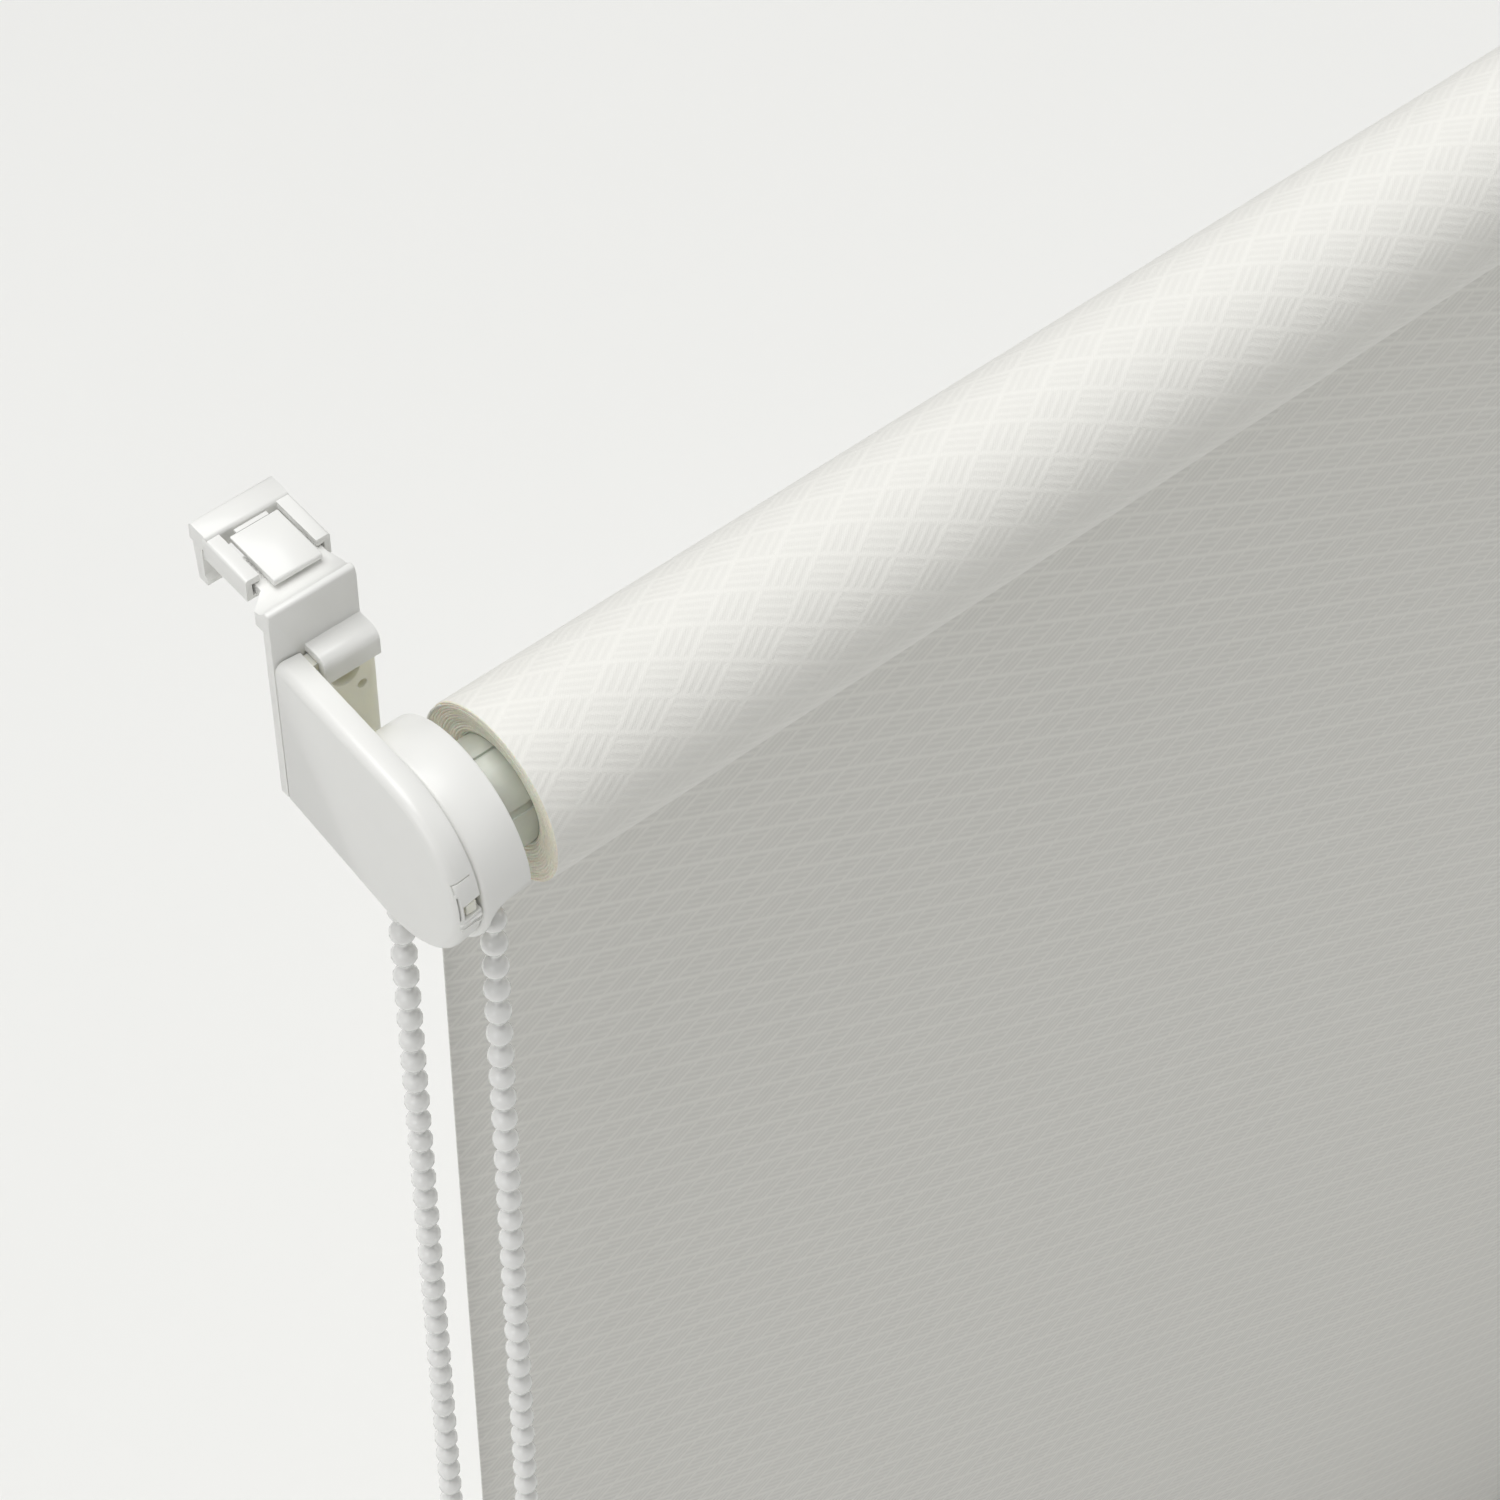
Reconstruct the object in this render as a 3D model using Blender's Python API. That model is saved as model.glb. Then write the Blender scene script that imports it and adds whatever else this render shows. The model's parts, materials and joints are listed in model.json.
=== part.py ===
"""Clip-on roller blind with a bead-chain drive, modelled in metres with +Z up.

+X runs along the roller from the control end to the idle end, and +Y points at the window sash that
the blind hangs on. The origin is the centre of the control clip's seat, where it rests on the top
edge of the sash. The idle end's clip, bracket and cover are the control end's, mirrored.
"""

import math
from collections import namedtuple

import bmesh
import bpy
from mathutils import Matrix, Vector

MM = 0.001
GAP = 0.3 * MM  # clearance between pieces that touch

# Driving dimensions
CLIP_WIDTH = 16 * MM
FABRIC_WIDTH = 570 * MM
FABRIC_DROP = 700 * MM  # from the roller's axis to the top of the bottom bar
ROLL_RADIUS = 15.8 * MM  # fabric wound on the tube
TUBE_RADIUS = 9.5 * MM
TUBE_BORE = 8.4 * MM
FABRIC_THICKNESS = 0.5 * MM
BEAD = 4.5 * MM  # bead diameter
PITCH = 6 * MM  # bead spacing
POCKETS = 13  # beads round the chain wheel
CHAIN_BEADS = 214
SASH_DEPTH = 17.7 * MM  # sash thickness that the clips are stored set to

# The roller's axis, as seen from the seat
ROLL_Y = -36 * MM
ROLL_Z = -26.3 * MM

# Stations along X at the control end
COVER_OUT = -CLIP_WIDTH / 2
COVER_IN = -3.3 * MM
DRUM_LEFT = -3.0 * MM
DRUM_RIGHT = 5.8 * MM
CHAIN_X = 1.5 * MM
TUBE_LEFT = DRUM_RIGHT + GAP
FABRIC_LEFT = 11.4 * MM
FABRIC_RIGHT = FABRIC_LEFT + FABRIC_WIDTH
TUBE_RIGHT = FABRIC_RIGHT + 5 * MM

# Clip and bracket
LEG_FRONT = -9.5 * MM  # face that the bracket slides down in front of
SASH_FACE = -7.7 * MM
RIDGE_TOP = 4.7 * MM
LEG_BOTTOM = -38 * MM
SLIDER_X = 1.2 * MM  # the hook slider's middle, as seen from the clip's
FLANGE_TOP = 3.0 * MM
FLANGE_HALF = 6.1 * MM
TONGUE_HALF = 4.4 * MM
RAIL_HALF = 7.7 * MM
RAIL_INNER = 5.2 * MM
HOOK_FACE = SASH_FACE + SASH_DEPTH
BASE_FRONT = -12.4 * MM

# Arm cover. Its round end is centred slightly above the roller's axis
COVER_Y = ROLL_Y + 0.5 * MM
COVER_Z = ROLL_Z + 1.2 * MM
COVER_RADIUS = 17.5 * MM
COVER_TOP = -6.0 * MM
COVER_BOTTOM = -39.2 * MM
COVER_REAR = -9.8 * MM
COVER_WALL = 1.4 * MM
COVER_FILLET = 1.6 * MM
COVER_DRAFT = 0.4 * MM  # how much the rim narrows towards the blind

# Chain housing
DRUM_RADIUS = 17.1 * MM
DRUM_WALL = 1.5 * MM
DRUM_CHEEK = 1.1 * MM  # the housing's wall beside the roller

IDLE_X = TUBE_RIGHT  # the idle clip's middle
IDLE_ARM_IN = IDLE_X + CLIP_WIDTH / 2 - (COVER_IN - COVER_OUT)

# The chain wheel's pitch radius puts its pockets one bead pitch apart
WHEEL_RADIUS = PITCH / (2 * math.sin(math.pi / POCKETS))
STRAND = (CHAIN_BEADS * PITCH - 2 * math.pi * WHEEL_RADIUS) / 2  # straight length of each strand

# A side places a clip and its bracket: x is measured from the clip's middle, away from the outside
Side = namedtuple("Side", "name centre sign")
CONTROL = Side("control", 0.0, 1)
IDLE = Side("idle", IDLE_X, -1)


def clear_scene():
    for obj in list(bpy.data.objects):
        bpy.data.objects.remove(obj)


def finish(name, colour, roughness, metallic=0.0):
    """A Principled material from an sRGB hex colour."""
    material = bpy.data.materials.new(name)
    material.use_nodes = True
    shader = material.node_tree.nodes["Principled BSDF"]
    channels = [int(colour[i : i + 2], 16) / 255 for i in (0, 2, 4)]
    linear = [c / 12.92 if c <= 0.04045 else ((c + 0.055) / 1.055) ** 2.4 for c in channels]
    shader.inputs["Base Color"].default_value = (*linear, 1)
    shader.inputs["Roughness"].default_value = roughness
    shader.inputs["Metallic"].default_value = metallic
    return material


def mesh_object(name, bm, material=None, side=None, pivot=(0, 0, 0)):
    """Makes an object of a bmesh in world coordinates, with its origin at the pivot."""
    if side:
        for vert in bm.verts:
            vert.co.x = side.centre + side.sign * vert.co.x
    bmesh.ops.recalc_face_normals(bm, faces=bm.faces)
    bmesh.ops.translate(bm, verts=bm.verts, vec=-Vector(pivot))
    mesh = bpy.data.meshes.new(name)
    bm.to_mesh(mesh)
    bm.free()
    shade(mesh)
    if material:
        mesh.materials.append(material)
    obj = bpy.data.objects.new(name, mesh)
    obj.location = pivot
    bpy.context.collection.objects.link(obj)
    return obj


def shade(mesh):
    mesh.shade_smooth()
    mesh.set_sharp_from_angle(angle=math.radians(35))


def boolean(target, operation, others):
    """Joins or cuts with each other object in turn, and removes them."""
    for other in others:
        step = target.modifiers.new(operation.title(), "BOOLEAN")
        step.operation = operation
        step.solver = "EXACT"
        step.object = other
    graph = bpy.context.evaluated_depsgraph_get()
    target.data = bpy.data.meshes.new_from_object(target.evaluated_get(graph))
    target.modifiers.clear()
    shade(target.data)
    for other in others:
        bpy.data.objects.remove(other)
    return target


def joined(target, *others):
    return boolean(target, "UNION", others)


def cut(target, *others):
    return boolean(target, "DIFFERENCE", others)


def prism_bmesh(outline, along, low, high):
    """A closed outline of points in the two axes that aren't `along`, in X, Y, Z order, extruded."""
    bm = bmesh.new()
    spots = {"X": lambda p: (low, p[0], p[1]), "Y": lambda p: (p[0], low, p[1]), "Z": lambda p: (p[0], p[1], low)}
    face = bm.faces.new([bm.verts.new(spots[along](p)) for p in outline])
    run = bmesh.ops.extrude_face_region(bm, geom=[face])
    step = Vector([high - low if axis == along else 0 for axis in "XYZ"])
    bmesh.ops.translate(bm, verts=[g for g in run["geom"] if isinstance(g, bmesh.types.BMVert)], vec=step)
    return bm


def prism(name, outline, along, low, high, **options):
    return mesh_object(name, prism_bmesh(outline, along, low, high), **options)


def box(name, low, high, **options):
    (x0, y0, z0), (x1, y1, z1) = low, high
    return prism(name, [(y0, z0), (y1, z0), (y1, z1), (y0, z1)], "X", x0, x1, **options)


def arc(centre, radius, start, end, steps=6):
    """Points on an arc in the plane of the outline, angles in degrees."""
    turns = [math.radians(start + (end - start) * i / steps) for i in range(steps + 1)]
    return [(centre[0] + radius * math.cos(t), centre[1] + radius * math.sin(t)) for t in turns]


def circle(centre, radius, steps=40):
    return arc(centre, radius, 0, 360 * (steps - 1) / steps, steps - 1)


def turned(name, profile, steps=40, sides=None, **options):
    """Points (x, radius) turned about the roller's axis. A profile that starts and ends at radius 0 is a
    solid, and any other is a closed ring. `sides` is a function of the angle that scales the radius."""
    bm = bmesh.new()
    rings = []
    for x, radius in profile:
        if radius == 0:
            rings.append([bm.verts.new((x, ROLL_Y, ROLL_Z))] * steps)
            continue
        ring = []
        for i in range(steps):
            angle = 2 * math.pi * i / steps
            reach = radius * (sides(angle) if sides else 1)
            ring.append(bm.verts.new((x, ROLL_Y + reach * math.cos(angle), ROLL_Z + reach * math.sin(angle))))
        rings.append(ring)
    if profile[0][1] > 0:
        rings.append(rings[0])
    for one, two in zip(rings, rings[1:]):
        for i in range(steps):
            corners = [one[i], one[i - 1], two[i - 1], two[i]]
            bm.faces.new(list(dict.fromkeys(corners)))
    return mesh_object(name, bm, **options)


def axis_empty(name, place):
    """An empty on a joint's axis, which the moving pieces are parented to."""
    empty = bpy.data.objects.new(name, None)
    empty.location = place
    empty.empty_display_size = 0.01
    bpy.context.collection.objects.link(empty)
    return empty


def hang_on(empty, *pieces):
    bpy.context.view_layer.update()
    for piece in pieces:
        piece.parent = empty
        piece.matrix_parent_inverse = empty.matrix_world.inverted()


# Clip: an L-shaped plate over the sash's edge, a hook that slides on it and a release tongue


def clip_plate(side, material):
    """Front leg with a thin ridge, the seat behind it, a narrower rear flange and the bracket's lip."""
    hollow_y, hollow_radius = -5.9 * MM, 2.5 * MM
    ridge = arc((LEG_FRONT + 0.6 * MM, RIDGE_TOP - 0.6 * MM), 0.6 * MM, 180, 90, 3)
    hollow = arc((hollow_y, FLANGE_TOP + hollow_radius), hollow_radius, 203, 270, 5)
    section = [(LEG_FRONT, LEG_BOTTOM), *ridge, (-8.4 * MM, RIDGE_TOP), *hollow, (hollow_y, 0)]
    section += [(SASH_FACE, 0), (SASH_FACE, LEG_BOTTOM)]
    bm = prism_bmesh(section, "X", COVER_OUT, -COVER_OUT)
    corners = [e for e in bm.edges if all(v.co.z > RIDGE_TOP - 0.7 * MM and v.co.y < -8 * MM for v in e.verts)]
    corners = [e for e in corners if abs(e.verts[0].co.x - e.verts[1].co.x) < GAP]
    bmesh.ops.bevel(bm, geom=corners, offset=0.4 * MM, segments=2, profile=0.5, affect="EDGES")
    plate = mesh_object(side.name + "_clip_plate", bm, material=material, side=side)
    front, rear, shoulder = hollow_y - 0.6 * MM, 3.8 * MM, -3.2 * MM
    left, right = SLIDER_X - FLANGE_HALF, SLIDER_X + FLANGE_HALF
    outline = [(COVER_OUT, front), (-COVER_OUT, front), (-COVER_OUT, hollow_y), (right, shoulder)]
    outline += [(right, rear), (left, rear), (left, shoulder), (COVER_OUT, hollow_y)]
    flange = prism("flange", outline, "Z", 1.3 * MM, FLANGE_TOP, side=side)
    foot = box("foot", (SLIDER_X - 4.7 * MM, front, 0), (SLIDER_X + 4.7 * MM, rear, 2 * MM), side=side)
    lip_top, lip_front, lip_rear = -5.5 * MM, -14.5 * MM, LEG_FRONT + 0.5 * MM
    lip_low, lip_inner, ceiling = -10.6 * MM, -12.8 * MM, -7.1 * MM
    lip = [(lip_rear, lip_top), *arc((lip_front + 2 * MM, lip_top - 2 * MM), 2 * MM, 90, 180, 4)]
    lip += [(lip_front, lip_low), (lip_inner, lip_low), (lip_inner, ceiling), (lip_rear, ceiling)]
    lip_left, cheek = -2.2 * MM, 0.9 * MM
    hood = prism("lip", lip, "X", lip_left, -COVER_OUT - 0.1 * MM, side=side)
    low, high = (lip_left, lip_front + 0.2 * MM, -13.2 * MM), (lip_left + cheek, BASE_FRONT - GAP, -7 * MM)
    lip_cheek = box("lip_cheek", low, high, side=side)
    teeth = []
    for i in range(6):
        start, base = -2.8 * MM + i * MM, FLANGE_TOP - 0.2 * MM
        tooth = [(start, base), (start + 0.7 * MM, base), (start + 0.7 * MM, FLANGE_TOP + 0.45 * MM)]
        teeth.append(prism("rack_tooth", tooth, "X", SLIDER_X - TONGUE_HALF, SLIDER_X + TONGUE_HALF, side=side))
    return joined(plate, flange, foot, hood, lip_cheek, *teeth)


def clip_hook(side, material):
    """Rear bar, two C-shaped rails round the plate's edges, and two hooks behind the sash."""
    bar_front, bar_rear, bar_top = 8.2 * MM, 13 * MM, 5.1 * MM
    half = 7.5 * MM
    name = side.name + "_clip_hook"
    section = [(bar_front, 1.6 * MM), (bar_rear, 1.6 * MM)]
    section += arc((bar_rear - 0.8 * MM, bar_top - 0.8 * MM), 0.8 * MM, 0, 90, 3)
    section += arc((bar_front + 0.8 * MM, bar_top - 0.8 * MM), 0.8 * MM, 90, 180, 3)
    options = {"material": material, "side": side, "pivot": (side.centre, 0, 0)}
    bar = prism(name, section, "X", SLIDER_X - half, SLIDER_X + half, **options)
    pieces = []
    for turn in (-1, 1):
        rail = [(RAIL_INNER, 4.7 * MM), (RAIL_INNER, 3.4 * MM), (6.6 * MM, 3.4 * MM), (6.6 * MM, MM)]
        rail += [(5.1 * MM, MM), (5.1 * MM, GAP), (RAIL_HALF, GAP)]
        rail += arc((RAIL_HALF - 0.5 * MM, 4.2 * MM), 0.5 * MM, 0, 90, 3)
        outline = [(SLIDER_X + turn * x, z) for x, z in rail]
        pieces.append(prism("rail", outline, "Y", -1.8 * MM, bar_front + MM, side=side))
        hook = [(HOOK_FACE, 2.5 * MM), (HOOK_FACE, -4.4 * MM), (HOOK_FACE - 0.8 * MM, -5.2 * MM)]
        hook += [(HOOK_FACE - 0.5 * MM, -6.4 * MM), (HOOK_FACE + 1.6 * MM, -6.4 * MM)]
        hook.append((HOOK_FACE + 2.4 * MM, 2.5 * MM))
        edges = sorted([SLIDER_X + turn * half, SLIDER_X + turn * (half - 2.8 * MM)])
        pieces.append(prism("hook", hook, "X", *edges, side=side))
    return joined(bar, *pieces)


def release_tongue(side, material):
    """Sprung tongue between the rails, hinged by a thin neck at the bar, with a pawl over the rack."""
    top, under, rear = 4.9 * MM, 3.8 * MM, 6.8 * MM
    name = side.name + "_release_tongue"
    low, high = SLIDER_X - TONGUE_HALF, SLIDER_X + TONGUE_HALF
    section = [(-4.5 * MM, under), (rear, under), (rear, top)]
    section += arc((-4.1 * MM, top - 0.4 * MM), 0.4 * MM, 90, 180, 2)
    pivot = (side.centre, 8 * MM, 4.3 * MM)
    tongue = prism(name, section, "X", low, high, material=material, side=side, pivot=pivot)
    neck = box("neck", (SLIDER_X - 3 * MM, rear - MM, 4 * MM), (SLIDER_X + 3 * MM, 7.8 * MM, 4.7 * MM), side=side)
    return joined(tongue, neck)


# Bracket: a base that slides down in front of the clip, an arm and its snapped-on cover


def hull_outline(centre, radius, corners, steps=28):
    """A round end about the centre (y, z), closed to two rear corners: the top one, then the bottom one."""
    tangents = []
    for turn, (y, z) in zip((1, -1), corners):
        dy, dz = y - centre[0], z - centre[1]
        tangents.append(math.degrees(math.atan2(dz, dy) + turn * math.acos(radius / math.hypot(dy, dz))))
    top, bottom = tangents
    return [corners[1], *arc(centre, radius, 360 + bottom, top, steps), corners[0]]


def bracket(side, material):
    """Base plate with its oblong and round openings, the arm inside the cover, and the cover's catch."""
    inside = COVER_WALL + COVER_DRAFT + 2 * GAP
    corners = [(BASE_FRONT + MM, COVER_TOP - inside), (BASE_FRONT + MM, COVER_BOTTOM + inside)]
    arm = hull_outline((COVER_Y, COVER_Z), COVER_RADIUS - inside, corners)
    name = side.name + "_bracket"
    arm_left, arm_right = COVER_OUT + COVER_WALL + GAP, COVER_IN - 0.1 * MM
    core = prism(name, arm, "X", arm_left, arm_right, material=material, side=side)
    low, high = (arm_left, BASE_FRONT, COVER_BOTTOM + inside), (-2.6 * MM, COVER_REAR, COVER_TOP - inside)
    inner = box("base_inner", low, high, side=side)
    outer = box("base", (-2.9 * MM, BASE_FRONT, LEG_BOTTOM), (-COVER_OUT, COVER_REAR, -7.4 * MM), side=side)
    catch_front = COVER_Y - COVER_RADIUS + COVER_DRAFT
    low = (-6.0 * MM, catch_front, ROLL_Z + 1.4 * MM)
    catch = box("catch", low, (-4.2 * MM, catch_front + 3.5 * MM, ROLL_Z + 3.6 * MM), side=side)
    slot_top, slot_left, slot_right = -13.3 * MM, 0, 5.2 * MM
    middle, radius = (slot_left + slot_right) / 2, (slot_right - slot_left) / 2
    oblong = [(slot_left, slot_top), *arc((middle, slot_top), radius, 180, 360, 10)[1:-1], (slot_right, slot_top)]
    front, rear = BASE_FRONT - MM, COVER_REAR + MM
    slot = prism("oblong", oblong, "Y", front, rear, side=side)
    hole = prism("round", circle((5.4 * MM, -17.9 * MM), 0.9 * MM, 16), "Y", front, rear, side=side)
    return cut(joined(core, inner, outer, catch), slot, hole)


def cover_ring(x, inset):
    """The cover's outline at x, moved in from its largest size."""
    corners = [(COVER_REAR, COVER_TOP - inset), (COVER_REAR, COVER_BOTTOM + inset)]
    return [(x, y, z) for y, z in hull_outline((COVER_Y, COVER_Z), COVER_RADIUS - inset, corners, 36)]


def arm_cover(side, material):
    """A shallow cap over the arm, its outer edge rounded, open at the rear and towards the blind."""
    bm = bmesh.new()
    rounded = arc((COVER_OUT + COVER_FILLET, COVER_FILLET), COVER_FILLET, 180, 270, 4)
    rings = [cover_ring(x, inset) for x, inset in [*rounded, (COVER_IN, COVER_DRAFT)]]
    loops = [[bm.verts.new(place) for place in ring] for ring in rings]
    for one, two in zip(loops, loops[1:]):
        for i in range(len(one)):
            bm.faces.new((one[i], one[i - 1], two[i - 1], two[i]))
    bm.faces.new(loops[0])
    bm.faces.new(loops[-1])
    cover = mesh_object(side.name + "_arm_cover", bm, material=material, side=side)
    inset = COVER_WALL + COVER_DRAFT + GAP / 2
    inside = [(COVER_REAR + MM, COVER_TOP - inset), (COVER_REAR + MM, COVER_BOTTOM + inset)]
    outline = hull_outline((COVER_Y, COVER_Z), COVER_RADIUS - inset, inside)
    hollow = prism("hollow", outline, "X", COVER_OUT + COVER_WALL, COVER_IN + MM, side=side)
    front, sill = COVER_Y - COVER_RADIUS, ROLL_Z + 0.9 * MM
    high = (COVER_IN + MM, front + 3 * MM, ROLL_Z + 4 * MM)
    window = box("window", (-6.6 * MM, front - MM, sill), high, side=side)
    slit_left = -7.3 * MM
    high = (slit_left + GAP, front + 4 * MM, ROLL_Z + 6 * MM)
    slit = box("slit", (slit_left, front - MM, sill), high, side=side)
    ribs = []
    for height in (-0.2 * MM, -1.5 * MM):
        low = ROLL_Z + height
        outline = rim_sector(low, low + 0.35 * MM, COVER_RADIUS - MM, COVER_RADIUS + 0.1 * MM)
        ribs.append(prism("rib", outline, "X", slit_left, COVER_IN - 0.2 * MM, side=side))
    line, depth = 0.25 * MM, 0.6 * MM
    panel_top = ROLL_Z + 8.5 * MM
    groove = rim_sector(panel_top - line, panel_top, COVER_RADIUS - depth, COVER_RADIUS + MM)
    grooves = [prism("panel_top", groove, "X", slit_left - line, COVER_IN - 0.8 * MM, side=side)]
    groove = rim_sector(ROLL_Z + 6.6 * MM, panel_top, COVER_RADIUS - depth, COVER_RADIUS + MM)
    grooves.append(prism("panel_side", groove, "X", slit_left - 0.2 * MM, slit_left + 0.05 * MM, side=side))
    return cut(joined(cut(cover, hollow), *ribs), window, slit, *grooves)


def rim_sector(low, high, inner, outer):
    """A piece of a ring about the cover's round end, at its front, between two heights."""
    start, end = (180 - math.degrees(math.asin((z - COVER_Z) / COVER_RADIUS)) for z in (high, low))
    return arc((COVER_Y, COVER_Z), outer, start, end, 3) + arc((COVER_Y, COVER_Z), inner, end, start, 3)


# Chain drive


def chain_housing(material):
    """A half-round hood over the chain wheel, on a full disc beside the bracket. At the front the hood's
    lower edge curves down to the disc."""
    sill_drop, tail, steps = 0.2 * MM, 4 * MM, 32
    dip = math.degrees(sill_drop / DRUM_RADIUS)
    rim, crisp_rim, disc_right = 0.9 * MM, 0.35 * MM, DRUM_LEFT + 1.2 * MM
    wall_left = DRUM_RIGHT - DRUM_CHEEK
    upper = arc((0, 0), 1, -dip, 180 + dip, steps)
    round_shape = upper + arc((0, 0), 1, 180 + dip, 360 - dip, steps)[1:-1]
    bm = bmesh.new()
    rounded = [(DRUM_LEFT + rim - x, y) for y, x in arc((DRUM_RADIUS - rim, 0), rim, 90, 0, 3)]
    rings = []
    for x, radius in [*rounded, (disc_right, DRUM_RADIUS)]:
        rings.append([bm.verts.new((x, ROLL_Y + radius * y, ROLL_Z + radius * z)) for y, z in round_shape])
    for one, two in zip(rings, rings[1:]):
        for i in range(len(one)):
            bm.faces.new((one[i], one[i - 1], two[i - 1], two[i]))
    bm.faces.new(rings[0])
    # The disc's inner face is split, and the part under the hood is drawn out to the hood's full width
    below = steps + 3
    hood_face = bm.faces.new(rings[-1][: below + 1])
    bm.faces.new(rings[-1][below:] + rings[-1][:1])
    grown = bmesh.ops.extrude_face_region(bm, geom=[hood_face])["geom"]
    moved = [item for item in grown if isinstance(item, bmesh.types.BMVert)]
    bmesh.ops.translate(bm, verts=moved, vec=(DRUM_RIGHT - disc_right, 0, 0))
    bmesh.ops.delete(bm, geom=[hood_face], context="FACES_ONLY")
    rims = [edge for edge in bm.edges if all(vert in moved for vert in edge.verts)]
    rims = [edge for edge in rims if edge.calc_length() < 5 * MM]
    bmesh.ops.bevel(bm, geom=rims, offset=crisp_rim, segments=2, profile=0.5, affect="EDGES")
    hood = mesh_object("chain_housing", bm, material=material)
    hollow = prism("hollow", circle((ROLL_Y, ROLL_Z), DRUM_RADIUS - DRUM_WALL, 48), "X", disc_right, wall_left)
    sill, left, low = ROLL_Z - sill_drop, disc_right + 0.05 * MM, ROLL_Z - 8 * MM
    curve = arc((left + tail, sill - tail), tail, 90, 180, 8)
    trim = [(DRUM_RIGHT + MM, low), (DRUM_RIGHT + MM, sill), *curve, (left, low)]
    below_sill = prism("below_sill", trim, "Y", ROLL_Y - 20 * MM, ROLL_Y + 20 * MM)
    inset = 0.15 * MM
    boss_left, boss_right, boss_radius = wall_left + inset, DRUM_RIGHT - inset, 11.5 * MM
    outline = [(boss_left, 0), (boss_left, boss_radius), (boss_right, boss_radius), (boss_right, 0)]
    boss = turned("boss", outline)
    post = prism("post_hole", circle((ROLL_Y, ROLL_Z), 5.1 * MM, 24), "X", DRUM_LEFT - MM, disc_right + MM)
    drive = prism("drive_hole", circle((ROLL_Y, ROLL_Z), 7.2 * MM, 32), "X", wall_left - MM, DRUM_RIGHT + MM)
    return cut(joined(cut(hood, hollow, below_sill), boss), post, drive)


POST_RADIUS = 3.6 * MM
SPRING_RADIUS = POST_RADIUS + 0.6 * MM  # to the middle of the wire
SPRING_WIRE = 0.3 * MM
SLEEVE_INNER, SLEEVE_OUTER = 5.1 * MM, 6.3 * MM


def clutch_post(material):
    """Fixed spindle on the bracket's arm: a collar in the housing's hole, a plain shank and a tip."""
    left, step, right = DRUM_LEFT - 0.1 * MM, -1.8 * MM, 27 * MM
    profile = [(left, 0), (left, 4.7 * MM), (step, 4.7 * MM), (step, POST_RADIUS), (right, POST_RADIUS)]
    profile += [(right + MM, POST_RADIUS - MM), (right + MM, 0)]
    return turned("clutch_post", profile, 28, material=material)


def clutch_spring(name, start, material, turns=5, per_turn=14):
    """Wrap spring: a helix round the post, its wire a bevelled path."""
    count = turns * per_turn
    curve = bpy.data.curves.new(name, "CURVE")
    curve.dimensions = "3D"
    curve.bevel_depth = SPRING_WIRE
    curve.bevel_resolution = 0
    curve.use_fill_caps = True
    path = curve.splines.new("POLY")
    path.points.add(count)
    step = 2.6 * SPRING_WIRE / per_turn
    for i in range(count + 1):
        angle = 2 * math.pi * i / per_turn
        y, z = SPRING_RADIUS * math.cos(angle), SPRING_RADIUS * math.sin(angle)
        path.points[i].co = (start + i * step, y, z, 1)
    curve.materials.append(material)
    spring = bpy.data.objects.new(name, curve)
    spring.location = (0, ROLL_Y, ROLL_Z)
    bpy.context.collection.objects.link(spring)
    return spring


def chain_wheel(material):
    """Chain wheel: a groove between two scalloped flanges, with a sleeve that turns in the tube."""
    left, right = DRUM_LEFT + 1.5 * MM, DRUM_RIGHT - DRUM_CHEEK - GAP
    groove = WHEEL_RADIUS - BEAD / 2 - 0.35 * MM
    lip_left, lip_right = CHAIN_X - BEAD / 2 - 0.15 * MM, CHAIN_X + BEAD / 2 + 0.15 * MM
    bore = POST_RADIUS + 0.2 * MM
    sleeve_end = 19 * MM
    profile = [(left, bore), (left, groove + 2 * MM), (lip_left, groove + 2 * MM)]
    profile.append((lip_left + 0.4 * MM, groove))
    profile += [(lip_right - 0.4 * MM, groove), (lip_right, groove + 2 * MM), (right, groove + 2 * MM)]
    profile += [(right, SLEEVE_OUTER), (sleeve_end, SLEEVE_OUTER), (sleeve_end, SLEEVE_INNER)]
    profile += [(right + MM, SLEEVE_INNER), (right + MM, bore)]
    wheel = turned("chain_wheel", profile, 3 * POCKETS, material=material, pivot=(CHAIN_X, ROLL_Y, ROLL_Z))
    # The sleeve is open on one side, where the springs' ends reach the drive plug
    opening = box(
        "sleeve_opening",
        (DRUM_RIGHT + 2 * MM, ROLL_Y - 8 * MM, ROLL_Z + 3.2 * MM),
        (sleeve_end + MM, ROLL_Y + 8 * MM, ROLL_Z + 8 * MM),
    )
    return cut(wheel, opening)


def drive_plug(material):
    """Ribbed plug that carries the tube on the chain wheel's sleeve."""
    left, right = TUBE_LEFT + GAP, 31 * MM
    bore, ribs = SLEEVE_OUTER + 0.2 * MM, 8
    profile = [(left, bore), (left, 7.7 * MM), (right, 7.7 * MM), (right, bore)]

    def rib(angle):
        return 1.06 if math.cos(ribs * angle) > 0.6 else 1.0

    return turned("drive_plug", profile, 48, sides=rib, material=material, pivot=(left, ROLL_Y, ROLL_Z))


# Tube, fabric and bottom bar


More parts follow.
